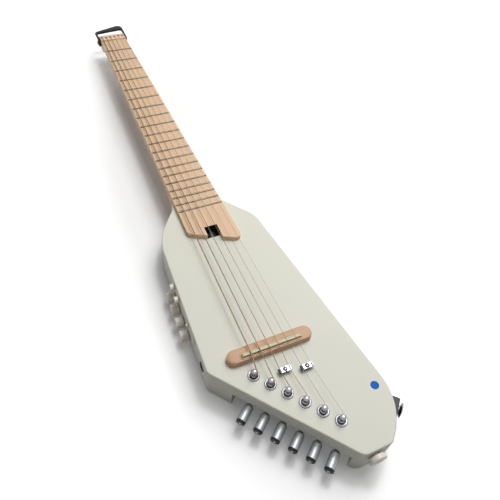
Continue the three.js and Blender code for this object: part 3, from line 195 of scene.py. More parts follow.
# Tuners, in the tail wall's frame
POST_INSET = 19.35
FIRST_POST = 40.5
POST_PITCH = 18.0
WORM_OFFSET = 7.2
WORM_HEIGHT = 17.0
HOUSING_TOP = 22.7
HOUSING_FLOOR = 11.7
HOUSING_INWARD = (11.35, 27.35)
HOUSING_ALONG = (-10.8, 6.2)
POST_FOOT = 15.0
POST_RADIUS = 3.0
POST_WAIST_RADIUS = 2.3
POST_TURNS = 2
STRING_TOP = 47.8
STRING_CLEAR = 0.1
TURN_GAP = 0.48
SLEEVE_RADIUS = 4.7
WORM_RADIUS = 1.95
WORM_LENGTH = 9.0
WORM_LEAD = 3.0
BUTTON_SHAFT = 1.5
BUTTON_ENDS = (17.3, 36.2)
CAP_ENDS = (36.25, 38.4)
CAP_SCREW_END = 39.2

# String trees
TREES = ((1.0, -26.3, (2, 3)), (22.6, -30.9, (4, 5)))
TREE_STRING_HEIGHT = 4.0
TREE_LENGTH = 13.6
TREE_WIDTH = 5.0
TREE_PLATE = 0.9
TREE_DROP = 1.6
TREE_WING = 1.0
TREE_SHANK = 1.3
TREE_SHANK_END = 31.0
TREE_STRING_SIDE = 4.84
TREE_GROOVE = 1.2
TREE_FOOT = 2.0
TREE_FOOT_LIFT = 0.35
# Thickness of the dark groove linings of painted shade; the bar's skin also has rows this far inside its
# faces
LINING = 0.1
SCREW_STANDS = 0.85
SCREW_CORE = 0.9

# Controls, in the bass wall's frame. A knob is its radius and its length
KNOB_NAMES = ("reverb_knob", "treble_knob", "bass_knob", "volume_knob")
KNOB_ALONG = 61.0
KNOB_PITCH = 17.5
KNOB_HEIGHT = 13.7
SMALL_HEIGHT = 31.5
KNOB = (6.3, 8.8)
SMALL_KNOB = (4.0, 4.2)
SMALL_KNOB_EDGE = 0.6
KNOB_CLEAR = 1.0
SHAFT_DEPTH = 11.7
KNOB_SHAFT = 3.0
SMALL_SHAFT = 1.6
KNOB_BORE = 4.5
SMALL_BORE = 3.0
KNOB_BORE_DEPTH = 6.0
PUSH_ALONG = 60.5
PUSH_HEIGHT = 33.0
PUSH_SHAFT = 1.1
PUSH_ENDS = (1.1, 2.9)
SOCKET_ALONG = 41.0
SOCKET_RADIUS = 3.0
SOCKET_BORE = 1.8
SOCKET_DEPTH = 14.0
JACK_ALONG = 17.4
JACK_HEIGHT = 20.0
JACK_RADIUS = 7.5
JACK_BORE = 3.25
JACK_DEPTH = 27.3
JACK_PLATE_RADIUS = 10.8
JACK_PLATE_DEPTH = 3.0

# Studio, in metres: the place, target and size of each lamp, and the camera's lens in millimetres
# and its place and turns in degrees, found from the frets, saddle and posts in the photograph
LAMPS = {
    "key_lamp": ((0.85, 0.75, 1.05), (0.0, 0.1, 0.0), 1.0),
    "top_lamp": ((0.48, 0.25, 1.35), (0.0, 0.15, 0.0), 1.0),
    "small_lamp": ((0.35, 0.35, 1.3), (0.0, 0.2, 0.0), 0.22),
    "fill_lamp": ((-0.95, 0.6, 0.4), (0.0, 0.1, 0.0), 0.6),
}
FLOOR_HALF = 4.0
FLOOR_DROP = 0.0004
GLOW_STRETCH = (1.0, 0.33, 1.0)
GLOW_CENTRE = (0.02, 0.085, 0.0)
CAMERA_LENS = 34.79
CAMERA_SENSOR = 36.0
CAMERA_PLACE = (-0.142799, -0.197249, 0.469268)
CAMERA_TURNS = (40.479, -3.863, -23.781)

# Strap fittings
BLOCK_OVERHANG = 5.5
BLOCK_LENGTH = 22.0
BLOCK_DEPTH = 13.0
BLOCK_HEIGHTS = (12.0, 34.0)
STRAP_BUTTON_FROM_TIP = 6.248
STRAP_BUTTON_HEIGHT = 23.0
STRAP_SCREW = 1.8
STRAP_SCREW_LENGTH = 20.0
TAIL_BUTTON = (45.6, 27.0)


def linear(code):
    """An sRGB hex code to linear red, green and blue, by the sRGB curve."""
    srgb = np.array([int(code[i:i + 2], 16) for i in (1, 3, 5)]) / 255
    curve = np.where(srgb <= 0.04045, srgb / 12.92, ((srgb + 0.055) / 1.055) ** 2.4)
    return tuple(float(value) for value in curve)


def unit(vectors):
    """Vectors divided by their own length, along the last axis."""
    vectors = np.asarray(vectors, float)
    return vectors / np.maximum(np.linalg.norm(vectors, axis=-1, keepdims=True), 1e-12)


class Wall:
    """A frame on a side wall: Y runs along the wall, X into the body and Z up."""

    def __init__(self, start, end):
        self.origin = np.array((*start[:2], 0.0))
        self.length = float(np.linalg.norm(end[:2] - start[:2]))
        self.along = unit(np.array((*(end[:2] - start[:2]), 0.0)))
        self.inward = np.array((self.along[1], -self.along[0], 0.0))

    def place(self, points):
        """Points (inward, along, up) in the part's own frame."""
        points = np.asarray(points, float)
        flat = points[..., :1] * self.inward + points[..., 1:2] * self.along
        return self.origin + flat + points[..., 2:] * (0.0, 0.0, 1.0)


BASS_WALL = Wall(BODY_CORNERS[3], BODY_CORNERS[2])
TAIL_WALL = Wall(BODY_CORNERS[4], BODY_CORNERS[3])


# Shapes. A part is a dict of points, faces and the UV of each face corner.

def soften(corners, steps=8):
    """Corners (x, y, radius) to a line of points: each corner is an arc of its radius.

    The arc touches both edges at radius / tan(half angle) from the corner, and its points are
    the two touching radii blended by sines, so that they stay on the circle.
    """
    corners = np.asarray(corners, float)
    spots, radii = corners[:, :2], corners[:, 2:]
    back = unit(np.roll(spots, 1, 0) - spots)
    ahead = unit(np.roll(spots, -1, 0) - spots)
    half = np.arccos(np.clip((back * ahead).sum(1, keepdims=True), -1, 1)) / 2
    half = np.clip(half, 1e-4, np.pi / 2 - 1e-4)
    centre = spots + unit(back + ahead) * radii / np.sin(half)
    start = spots + back * radii / np.tan(half) - centre
    end = spots + ahead * radii / np.tan(half) - centre
    sweep = (np.pi - 2 * half)[:, None]
    share = np.linspace(0, 1, steps)[None, :, None]
    arc = start[:, None] * np.sin((1 - share) * sweep) + end[:, None] * np.sin(share * sweep)
    return (centre[:, None] + arc / np.sin(sweep)).reshape(-1, 2)


def inset(corners, depth):
    """Every edge of a counterclockwise outline (x, y, radius) moved inwards by depth.

    A corner moves by depth times the sum of its two inward normals over one plus their dot
    product. Its radius shrinks by depth where it turns left and grows where it turns right.
    """
    corners = np.asarray(corners, float)
    edge = unit(np.roll(corners[:, :2], -1, 0) - corners[:, :2])
    normal = np.stack([-edge[:, 1], edge[:, 0]], 1)
    before, normal_before = np.roll(edge, 1, 0), np.roll(normal, 1, 0)
    shift = (normal + normal_before) / (1 + (normal * normal_before).sum(1, keepdims=True))
    left = before[:, 0] * edge[:, 1] - before[:, 1] * edge[:, 0] > 0
    radii = np.where(left, np.maximum(corners[:, 2] - depth, 0), corners[:, 2] + depth)
    return np.column_stack([corners[:, :2] + shift * depth, radii])


def skin(rings, size=None):
    """Rings of points (ring, point, xyz) joined by quads, with one face over each end.

    The UV of a corner is its share round the ring and its share along the rings, times size.
    """
    rings = np.asarray(rings, float)
    rows, count = rings.shape[:2]
    row, column = np.arange(rows - 1)[:, None], np.arange(count)[None]
    step = (column + 1) % count
    quads = np.stack([row * count + column, row * count + step,
                      (row + 1) * count + step, (row + 1) * count + column], -1)
    round_share, along = np.broadcast_arrays(column / count, row / max(rows - 1, 1))
    over, on = 1 / count, 1 / max(rows - 1, 1)
    uv = np.stack([
        np.stack([round_share, along], -1), np.stack([round_share + over, along], -1),
        np.stack([round_share + over, along + on], -1), np.stack([round_share, along + on], -1),
    ], 2)
    uv = uv * (size if size is not None else (1, 1))
    faces = quads.reshape(-1, 4).tolist() + [list(range(count))[::-1],
                                             list(range((rows - 1) * count, rows * count))]
    corners = np.vstack([uv.reshape(-1, 2), np.zeros((2 * count, 2))])
    return {"points": rings.reshape(-1, 3), "faces": faces, "uv": corners}


def plate(corners, low, high, low_edge=0.0, high_edge=0.0, steps=8, edge_steps=4, wall=None):
    """A flat piece with quarter round rims.

    Its outline climbs in rings. In a rim of radius e, at the angle a, a ring lies
    e * (1 - sin a) inside the outline and e * (1 - cos a) from the flat face.
    """
    bend = np.linspace(0, np.pi / 2, edge_steps + 1)
    depth = np.concatenate([low_edge * (1 - np.sin(bend)), high_edge * (1 - np.sin(bend[::-1]))])
    height = np.concatenate([low + low_edge * (1 - np.cos(bend)),
                             high - high_edge * (1 - np.cos(bend[::-1]))])
    keep = np.append(True, (np.abs(np.diff(depth)) + np.abs(np.diff(height))) > 1e-9)
    rings = []
    for d, z in zip(depth[keep], height[keep]):
        outline = soften(inset(corners, d), steps)
        rings.append(np.column_stack([outline, np.full(len(outline), z)]))
    rings = np.array(rings)
    return skin(wall.place(rings) if wall else rings)


def box_corners(x0, x1, y0, y1, radius=0.0):
    return [(x0, y0, radius), (x1, y0, radius), (x1, y1, radius), (x0, y1, radius)]


def grown(box, by):
    """A box of two sides and two ends with every edge moved outwards."""
    x0, x1, y0, y1 = box
    return x0 - by, x1 + by, y0 - by, y1 + by


def block(x0, x1, y0, y1, z0, z1, wall=None):
    """A sharp box between two corners, for cutting."""
    return plate(box_corners(x0, x1, y0, y1), z0, z1, steps=1, wall=wall)


def side_axes(axis):
    """A unit axis and two unit vectors square to it and to each other."""
    axis = unit(axis)
    across = unit(np.cross(np.eye(3)[np.argmin(np.abs(axis))], axis))
    return axis, across, np.cross(axis, across)


def turned(profile, seat, axis, sides=48, wave=None):
    """A body of revolution of points (radius, distance, rounding radius).

    The softened profile goes round the axis: seat + distance * axis + radius * (cos * across +
    sin * up). A wave function of angle and distance scales the radius, for ridges and teeth.
    """
    profile = np.asarray([(*point, 0.0)[:3] for point in profile], float)
    line = soften(profile, 5)
    line = line[np.append(True, np.abs(np.diff(line, axis=0)).sum(1) > 1e-7)]
    axis, across, up = side_axes(axis)
    angle = np.linspace(0, 2 * np.pi, sides, endpoint=False)[None, :, None]
    radius, distance = line[:, 0][:, None, None], line[:, 1][:, None, None]
    if wave:
        radius = radius * wave(angle, distance)
    rings = np.asarray(seat) + distance * axis + radius * (np.cos(angle) * across + np.sin(angle) * up)
    length = np.abs(np.diff(line, axis=0)).sum() + 1e-6
    return skin(rings, size=(2 * np.pi * line[:, 0].max() * MM, length * MM))


def rod(radius, start, end, sides=32):
    """A plain closed cylinder between two points, for cutting."""
    start, end = np.asarray(start, float), np.asarray(end, float)
    length = np.linalg.norm(end - start)
    profile = [(0, 0), (radius, 0), (radius, length), (0, length)]
    return turned(profile, start, end - start, sides)


def tube(path, radius, sides=12):
    """A round tube along a path.

    Each ring lies square to the mean of the two directions that meet at its point, on a normal
    that is the direction crossed with X while the path climbs, and level with Z elsewhere.
    """
    path = np.asarray(path, float)
    legs = unit(np.diff(path, axis=0))
    heading = unit(np.vstack([legs[:1], legs[:-1] + legs[1:], legs[-1:]]))
    climbing = np.cross(heading, (1.0, 0.0, 0.0))
    level = (0.0, 0.0, 1.0) - heading * heading[:, 2:]
    up = unit(np.where(np.abs(heading[:, 2:]) > 0.3, climbing, level))
    across = np.cross(up, heading)
    angle = np.linspace(0, 2 * np.pi, sides, endpoint=False)[None, :, None]
    rings = path[:, None] + radius * (np.cos(angle) * up[:, None] + np.sin(angle) * across[:, None])
    part = skin(rings)
    travel = np.append(0, np.cumsum(np.linalg.norm(np.diff(path, axis=0), axis=1))) * MM
    wall_uv = part["uv"][:-2 * sides].reshape(len(path) - 1, sides, 4, 2)
    wall_uv[:, :, :2, 1] = travel[:-1, None, None]
    wall_uv[:, :, 2:, 1] = travel[1:, None, None]
    return part


def ball(radius, centre, sides=24):
    """A sphere as a half circle of points turned about Z."""
    angle = np.linspace(-np.pi / 2, np.pi / 2, sides // 2 + 1)
    profile = np.column_stack([radius * np.cos(angle), radius * np.sin(angle)])
    return turned(profile.tolist(), centre, (0, 0, 1), sides)


def cross_slot(seat, axis, size, depth):
    """The two crossed bars that cut a screw head's drive, square to its axis."""
    axis, across, up = side_axes(axis)
    half, thin = size / 2, size / 8
    bars = []
    for long_way, short_way in ((across, up), (up, across)):
        ring = np.array([(-half, -thin), (half, -thin), (half, thin), (-half, thin)])
        flat = ring[:, :1] * long_way + ring[:, 1:] * short_way
        bars.append(skin(np.array([seat - axis * depth + flat, seat + axis * OVERRUN + flat])))
    return bars


# Objects

def raw_object(name, parts, collection):
    """Closed parts in millimetres as one mesh object in metres, doubles merged, faces outwards."""
    points, faces, corners, base = [], [], [], 0
    for part in parts:
        points.append(part["points"])
        faces += [[index + base for index in face] for face in part["faces"]]
        corners.append(part["uv"])
        base += len(part["points"])
    mesh = bpy.data.meshes.new(name)
    mesh.from_pydata(np.vstack(points) * MM, [], faces)
    mesh.uv_layers.new(name="surface").data.foreach_set("uv", np.vstack(corners).ravel())
    shell = bmesh.new()
    shell.from_mesh(mesh)
    bmesh.ops.remove_doubles(shell, verts=shell.verts, dist=0.002 * MM)
    bmesh.ops.recalc_face_normals(shell, faces=shell.faces)
    shell.to_mesh(mesh)
    shell.free()
    piece = bpy.data.objects.new(name, mesh)
    collection.objects.link(piece)
    return piece


def combine(piece, parts, operation="DIFFERENCE"):
    """Cuts closed parts out of a piece, or joins them to it, and keeps the resulting mesh."""
    tools = bpy.data.collections.new("tools")
    bpy.context.scene.collection.children.link(tools)
    made = [raw_object("tool", [part], tools) for part in parts]
    step = piece.modifiers.new("Combine", "BOOLEAN")
    step.operation, step.solver, step.operand_type = operation, "EXACT", "COLLECTION"
    step.collection = tools
    shown = piece.evaluated_get(bpy.context.evaluated_depsgraph_get())
    mesh = bpy.data.meshes.new_from_object(shown)
    piece.modifiers.clear()
    old, piece.data = piece.data, mesh
    bpy.data.meshes.remove(old)
    mesh.name = piece.name
    for tool in made:
        bpy.data.meshes.remove(tool.data)
    bpy.data.collections.remove(tools)


def piece_of(name, parts, finish, body, nodes, cuts=(), joins=(), crease=32):
    """One finished piece: parts joined and cut, smooth up to the crease angle, with its finish."""
    piece = raw_object(name, parts, bpy.context.scene.collection)
    if joins:
        combine(piece, joins, "UNION")
    if cuts:
        combine(piece, cuts)
    piece.data.materials.clear()
    piece.data.materials.append(finish_of(finish))
    piece.data.shade_smooth()
    piece.data.set_sharp_from_angle(angle=np.radians(crease))
    even = piece.modifiers.new("Even normals", "WEIGHTED_NORMAL")
    even.keep_sharp = True
    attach(piece, body)
    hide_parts(*nodes)
    return piece


# Materials

def add_node(tree, kind, inputs=None, **settings):
    """Adds a node: settings are its properties, and inputs its sockets, by name or number,
    each with a value or with the output that feeds it."""
    node = tree.nodes.new(kind)
    for name, value in settings.items():
        setattr(node, name, value)
    for name, value in (inputs or {}).items():
        if isinstance(value, bpy.types.NodeSocket):
            tree.links.new(value, node.inputs[name])
        else:
            node.inputs[name].default_value = value
    return node


def start_material(name, color, roughness, metallic=0.0, **sockets):
    """A new material with its Principled shader, and the shader's constant sockets set."""
    material = bpy.data.materials.new(name)
    material.use_nodes = True
    material.diffuse_color = (*color, 1)
    tree = material.node_tree
    shader = tree.nodes["Principled BSDF"]
    values = {"Base Color": (*color, 1), "Roughness": roughness, "Metallic": metallic}
    values.update({key.replace("_", " "): value for key, value in sockets.items()})
    for key, value in values.items():
        shader.inputs[key].default_value = value
    return material, tree, shader


def shade(color, factor):
    return (*(min(value * factor, 1.0) for value in color), 1)


def satin_white_paint(name, colours):
    """Sprayed satin lacquer on wood: a faint orange peel breaks up the reflections, and the film
    is a little uneven in tone and gloss."""
    color = tuple(colours.paint)
    material, tree, shader = start_material(name, color, 0.55, IOR=1.5, Specular_IOR_Level=0.3)
    spot = add_node(tree, "ShaderNodeTexCoord").outputs["Object"]
    cloud = add_node(tree, "ShaderNodeTexNoise", {"Vector": spot, "Scale": 1 / (55 * MM), "Detail": 3.0})
    peel = add_node(tree, "ShaderNodeTexNoise", {"Vector": spot, "Scale": 1 / (1.4 * MM), "Detail": 1.0})
    tone = add_node(tree, "ShaderNodeMix", {0: cloud.outputs["Fac"], 6: shade(color, 0.965),
                                            7: shade(color, 1.035)}, data_type="RGBA")
    gloss = add_node(tree, "ShaderNodeMapRange", {"Value": cloud.outputs["Fac"], "From Min": 0.3,
                                                  "From Max": 0.7, "To Min": 0.48, "To Max": 0.62})
    bump = add_node(tree, "ShaderNodeBump", {"Height": peel.outputs["Fac"], "Strength": 0.12,
                                             "Distance": 0.05 * MM})
    tree.links.new(tone.outputs[2], shader.inputs["Base Color"])
    tree.links.new(gloss.outputs["Result"], shader.inputs["Roughness"])
    tree.links.new(bump.outputs["Normal"], shader.inputs["Normal"])
    return material


def grained_wood(name, color, stretch, roughness, contrast):
    """Straight grained wood under a thin satin finish: long streaks of growth rings, short dark
    pores along them and a slow change of tone from board to board. The grain lines are drawn
    about 0.7 mm apart, a little coarser than real, so that they show."""
    material, tree, shader = start_material(name, color, roughness, IOR=1.5)
    spot = add_node(tree, "ShaderNodeTexCoord").outputs["Object"]
    long_grain = add_node(tree, "ShaderNodeMapping", {"Vector": spot, "Scale": stretch})
    streak = add_node(tree, "ShaderNodeTexNoise", {"Vector": long_grain.outputs["Vector"], "Scale": 1.0,
                                                   "Detail": 5.0, "Roughness": 0.62, "Distortion": 0.25})
    short_grain = add_node(tree, "ShaderNodeMapping", {
        "Vector": spot, "Scale": tuple(3.2 * value for value in stretch)})
    pore = add_node(tree, "ShaderNodeTexNoise", {"Vector": short_grain.outputs["Vector"], "Scale": 1.0,
                                                 "Detail": 2.0})
    broad = add_node(tree, "ShaderNodeTexNoise", {"Vector": spot, "Scale": 1 / (38 * MM), "Detail": 2.0})
    streaks = add_node(tree, "ShaderNodeMapRange", {"Value": streak.outputs["Fac"], "From Min": 0.32,
                                                    "From Max": 0.68})
    pores = add_node(tree, "ShaderNodeMapRange", {"Value": pore.outputs["Fac"], "From Min": 0.6,
                                                  "From Max": 0.74, "To Max": 0.4})
    base = add_node(tree, "ShaderNodeMix", {
        0: streaks.outputs["Result"], 6: shade(color, 1 - contrast), 7: shade(color, 1 + contrast)},
        data_type="RGBA")
    warm = (color[0] * 0.93, color[1] * 0.86, color[2] * 0.76, 1)
    toned = add_node(tree, "ShaderNodeMix", {0: broad.outputs["Fac"], 6: base.outputs[2], 7: warm},
                     data_type="RGBA", blend_type="MIX")
    mild = add_node(tree, "ShaderNodeMix", {0: 0.35, 6: base.outputs[2], 7: toned.outputs[2]},
                    data_type="RGBA")
    dark = add_node(tree, "ShaderNodeMix", {0: pores.outputs["Result"], 6: mild.outputs[2],
                                            7: shade(color, 0.62)}, data_type="RGBA")
    gloss = add_node(tree, "ShaderNodeMapRange", {"Value": streak.outputs["Fac"], "From Min": 0.3,
                                                  "From Max": 0.7, "To Min": roughness - 0.06,
                                                  "To Max": roughness + 0.08})
    bump = add_node(tree, "ShaderNodeBump", {"Height": pore.outputs["Fac"], "Strength": 0.15,
                                             "Distance": 0.06 * MM})
    tree.links.new(dark.outputs[2], shader.inputs["Base Color"])
    tree.links.new(gloss.outputs["Result"], shader.inputs["Roughness"])
    tree.links.new(bump.outputs["Normal"], shader.inputs["Normal"])
    return material


def satin_maple(name, colours):
    """Maple neck and fretboard, with its grain along the strings."""
    grain = (1 / (1.3 * MM), 1 / (60 * MM), 1 / (1.3 * MM))
    return grained_wood(name, tuple(colours.maple), grain, 0.5, 0.07)


def oiled_bridge_wood(name, colours):
    """Oiled bridge pad, a browner wood with its grain across the strings."""
    grain = (1 / (30 * MM), 1 / (1.1 * MM), 1 / (1.1 * MM))
    return grained_wood(name, tuple(colours.bridge_wood), grain, 0.55, 0.16)


def bare_bridge_wood(name, colours):
    """The bridge wood of the ledge round the saddle, drawn paler and drier as a painted highlight of its
    lit rim.
    """
    grain = (1 / (30 * MM), 1 / (1.1 * MM), 1 / (1.1 * MM))
    return grained_wood(name, tuple(colours.ledge_highlight_tone), grain, 0.6, 0.06)


def mottled(name, color, roughness, scale_mm, tone, relief_mm, strength, metallic=0.0, **sockets):
    """A surface with one fine noise that varies its tone, its gloss and its relief."""
    material, tree, shader = start_material(name, color, roughness, metallic, **sockets)
    spot = add_node(tree, "ShaderNodeTexCoord").outputs["Object"]
    fine = add_node(tree, "ShaderNodeTexNoise", {"Vector": spot, "Scale": 1 / (scale_mm * MM),
                                                 "Detail": 3.0})
    coarse = add_node(tree, "ShaderNodeTexNoise", {"Vector": spot, "Scale": 1 / (14 * scale_mm * MM),
                                                   "Detail": 2.0})
    mixed = add_node(tree, "ShaderNodeMath", {0: fine.outputs["Fac"], 1: coarse.outputs["Fac"]},
                     operation="MULTIPLY")
    spread = add_node(tree, "ShaderNodeMapRange", {"Value": mixed.outputs["Value"], "From Min": 0.12,
                                                   "From Max": 0.4})
    colour = add_node(tree, "ShaderNodeMix", {0: spread.outputs["Result"], 6: shade(color, 1 - tone),
                                              7: shade(color, 1 + tone)}, data_type="RGBA")
    gloss = add_node(tree, "ShaderNodeMapRange", {
        "Value": spread.outputs["Result"], "To Min": roughness * 0.85, "To Max": roughness * 1.2})
    bump = add_node(tree, "ShaderNodeBump", {"Height": fine.outputs["Fac"], "Strength": strength,
                                             "Distance": relief_mm * MM})
    tree.links.new(colour.outputs[2], shader.inputs["Base Color"])
    tree.links.new(gloss.outputs["Result"], shader.inputs["Roughness"])
    tree.links.new(bump.outputs["Normal"], shader.inputs["Normal"])
    return material


def polished_bone(name, colours):
    """Polished bone saddle: warm and faintly streaked, with a soft shine."""
    return mottled(name, tuple(colours.bone), 0.35, 1.2, 0.08, 0.02, 0.1, IOR=1.54)


def aged_bone(name, colours):
    """Unbleached bone nut: matter and browner than the saddle."""
    return mottled(name, tuple(colours.nut_bone), 0.45, 1.2, 0.06, 0.02, 0.1, IOR=1.54)


def satin_grey_nylon(name, colours):
    """Dark grey nylon block with a rubbed satin skin."""
    return mottled(name, tuple(colours.grey), 0.34, 0.7, 0.12, 0.02, 0.2, Specular_IOR_Level=0.3)


def moulded_black_nylon(name, colours):
    """Glass filled nylon from a spark-eroded mould: a fine dull grit on near black."""
    return mottled(name, tuple(colours.black), 0.5, 0.45, 0.2, 0.03, 0.35, Specular_IOR_Level=0.25)


def moulded_cream_abs(name, colours):
    """Moulded cream ABS with a soft satin skin."""
    return mottled(name, tuple(colours.cream), 0.38, 0.5, 0.04, 0.02, 0.15, IOR=1.53)


def polished_chrome(name, colours):
    """Bright chrome plate: a mirror with slight unevenness from the polishing wheel. Its colour is drawn
    darker than chrome, as painted shade of the darker room it would mirror, so that the lamps draw its
    highlights.
    """
    return mottled(name, tuple(colours.chrome), 0.2, 2.5, 0.03, 0.01, 0.08, metallic=1.0)


def rolled_nickel_silver(name, colours):
    """Fret wire, rolled and polished, with short rubbed lines. Its colour is drawn dark, as painted shade
    of the dark room the wire would mirror, so that only the lamps make it bright.
    """
    return mottled(name, tuple(colours.fret_metal), 0.22, 0.6, 0.06, 0.01, 0.06, metallic=1.0)


def zinc_plated_steel(name, colours):
    """Plain plated steel screws and rods, duller than chrome."""
    return mottled(name, tuple(colours.steel), 0.32, 0.8, 0.1, 0.01, 0.25, metallic=1.0)


def phosphated_steel(name, colours):
    """Matt olive black steel, drawn as painted shade: on the tree wings, the groove linings and the
    string hole sleeves, which stand in shadow, and in part on the tree screw heads, for the shade of
    their countersinks.
    """
    return mottled(name, tuple(colours.dark_steel), 0.5, 0.8, 0.15, 0.02, 0.2, Specular_IOR_Level=0.3)


def drawn_steel_string(name, colours):
    """Plain drawn wire. It is drawn dark, because a thin wire mirrors the dark side of a room."""
    return mottled(name, tuple(colours.wire), 0.35, 0.8, 0.1, 0.01, 0.1, metallic=1.0)


def black_plated_nickel(name, colours):
    """Black nickel plate on brass: dark, with a soft shine."""
    return mottled(name, tuple(colours.black_metal), 0.3, 0.8, 0.15, 0.01, 0.2, metallic=1.0)


def satin_blue_enamel(name, colours):
    """Stoved blue enamel with a soft sheen that leaves its colour deep and even."""
    return mottled(name, tuple(colours.blue), 0.5, 1.5, 0.03, 0.01, 0.1, Specular_IOR_Level=0.1)


def lacquered_board(name, colours):
    """Circuit board under green lacquer."""
    return mottled(name, tuple(colours.board_green), 0.35, 1.0, 0.2, 0.05, 0.3, IOR=1.5)


def brushed_gunmetal(name, colours):
    """Machined and plated tuner button: fine lathe lines run round it and draw out one long
    highlight. The lines are drawn 0.25 mm apart, coarser than real, so that they show."""
    color = tuple(colours.gunmetal)
    material, tree, shader = start_material(name, color, 0.46, 1.0)
    spot = add_node(tree, "ShaderNodeUVMap", uv_map="surface").outputs["UV"]
    lines = add_node(tree, "ShaderNodeMapping", {
        "Vector": spot, "Scale": (1 / (9 * MM), 1 / (0.25 * MM), 1)})
    brush = add_node(tree, "ShaderNodeTexNoise", {"Vector": lines.outputs["Vector"], "Scale": 1.0,
                                                  "Detail": 3.0})
    colour = add_node(tree, "ShaderNodeMix", {0: brush.outputs["Fac"], 6: shade(color, 0.82),
                                              7: shade(color, 1.18)}, data_type="RGBA")
    gloss = add_node(tree, "ShaderNodeMapRange", {"Value": brush.outputs["Fac"], "From Min": 0.3,
                                                  "From Max": 0.7, "To Min": 0.38, "To Max": 0.55})
    bump = add_node(tree, "ShaderNodeBump", {"Height": brush.outputs["Fac"], "Strength": 0.2,
                                             "Distance": 0.02 * MM})
    tree.links.new(colour.outputs[2], shader.inputs["Base Color"])
    tree.links.new(gloss.outputs["Result"], shader.inputs["Roughness"])
    tree.links.new(bump.outputs["Normal"], shader.inputs["Normal"])
    return material


def wound_string(name, colours):
    """Phosphor bronze wire wound on a steel core: ribs across the string. They are drawn 0.9 mm apart,
    about twice as coarse as real, so that they show. The colour falls dark between the ribs and rises on
    them: painted shade in the grooves and painted sheen on the crowns, besides their bump."""
    color = tuple(colours.bronze)
    material, tree, shader = start_material(name, color, 0.36, 1.0)
    spot = add_node(tree, "ShaderNodeUVMap", uv_map="surface").outputs["UV"]
    ribs = add_node(tree, "ShaderNodeTexWave", {"Vector": spot, "Scale": 1 / (0.9 * MM) / 20 * np.pi,
                                                "Detail": 0.0}, bands_direction="Y")
    # Dark between the ribs and light on them: painted shade and painted sheen
    colour = add_node(tree, "ShaderNodeMix", {0: ribs.outputs["Fac"], 6: shade(color, 0.35),
                                              7: shade(color, 1.25)}, data_type="RGBA")
    bump = add_node(tree, "ShaderNodeBump", {"Height": ribs.outputs["Fac"], "Strength": 0.6,
                                             "Distance": 0.15 * MM})
    tree.links.new(colour.outputs[2], shader.inputs["Base Color"])
    tree.links.new(bump.outputs["Normal"], shader.inputs["Normal"])
    return material


FINISHES = {maker.__name__: maker for maker in (
    satin_white_paint, satin_maple, oiled_bridge_wood, bare_bridge_wood, polished_bone, aged_bone,
    satin_grey_nylon, moulded_black_nylon, moulded_cream_abs, polished_chrome,
    rolled_nickel_silver, zinc_plated_steel, phosphated_steel, drawn_steel_string,
    black_plated_nickel, satin_blue_enamel, lacquered_board, brushed_gunmetal, wound_string)}


def finish_of(name):
    """The material of that name, made from the scene's colours the first time."""
    return bpy.data.materials.get(name) or FINISHES[name](name, bpy.context.scene.guitar_colours)


# Places that more than one piece uses

def board_half(y):
    """Half the fretboard's width at a distance from the saddle: it widens evenly from the nut."""
    last = NUT_Y - SCALE_LENGTH * (1 - 2 ** (-FRET_COUNT / 12))
    return (NUT_WIDTH + (LAST_FRET_WIDTH - NUT_WIDTH) * (NUT_Y - y) / (NUT_Y - last)) / 2


def string_x(spread, index):
    return spread * (np.asarray(index) / (STRING_COUNT - 1) - 0.5)


def post_along(index):
    return TAIL_WALL.length - FIRST_POST - POST_PITCH * index


def string_diameter(index):
    return bpy.context.scene.guitar_sizes.thickest_string / MM * STRING_SHARES[index]


def string_path(index):
    """The string's middle line from its ball end to its cut end.

    It climbs out of the head, bends through a quarter circle, runs straight over the nut and
    the saddle, level under its tree, and winds twice down its post in a helix: post + radius *
    (cos, sin) of an angle that falls evenly, while the height falls by the pitch each turn.
    """
    half = string_diameter(index) / 2
    x = string_x(NUT_SPREAD, index)
    turn = np.linspace(0, np.pi / 2, 10)
    bend_top = BOARD_TOP + STRING_CLEAR + half
    bend = np.column_stack([np.full(10, x), HOLE_Y - HEAD_BEND * (1 - np.cos(turn)),
                            bend_top - HEAD_BEND * (1 - np.sin(turn))])
    line = [[(x, HOLE_Y, BALL_CENTRE)], bend, [(x, NUT_Y + NUT_THICKNESS, NUT_SEAT + half)],
            [(x, NUT_Y, NUT_SEAT + half)],
            *([(string_x(SADDLE_SPREAD, index), y, SADDLE_SEAT + half)] for y in reversed(SADDLE_ENDS))]
    for tree_x, tree_y, strings in TREES:
        if index in strings:
            side = TREE_STRING_SIDE * (1 if index == strings[1] else -1)
            reach = np.array([TREE_WIDTH / 2 + GAP, -TREE_WIDTH / 2 - GAP])
            line.append(np.column_stack([np.full(2, tree_x + side), tree_y + reach,
                                         np.full(2, BODY_TOP + TREE_STRING_HEIGHT)]))
    last = np.asarray(line[-1])[-1]
    post = TAIL_WALL.place((POST_INSET, post_along(index), 0))
    radius = POST_WAIST_RADIUS + STRING_CLEAR + half
    away = last[:2] - post[:2]
    first = np.arctan2(away[1], away[0]) - np.arccos(radius / np.linalg.norm(away))
    share = np.linspace(0, POST_TURNS, 36 * POST_TURNS + 1)
    angle = first - 2 * np.pi * share
    height = STRING_TOP - half - STRING_CLEAR - (2 * half + TURN_GAP) * share
    winding = np.column_stack([post[0] + radius * np.cos(angle), post[1] + radius * np.sin(angle),
                               height])
    end = winding[-1] + unit(winding[-1] - winding[-2]) * 2 * half
    return np.vstack([*line, winding, [end]])


# Sizes and colours that a user would change

def length(name, description, millimetres):
    return bpy.props.FloatProperty(name=name, description=description, default=millimetres * MM,
                                   min=0.0, precision=5, subtype="DISTANCE", unit="LENGTH")


def colour(name, description, code):
    return bpy.props.FloatVectorProperty(name=name, description=description, default=linear(code),
                                         size=3, min=0.0, max=1.0, subtype="COLOR")


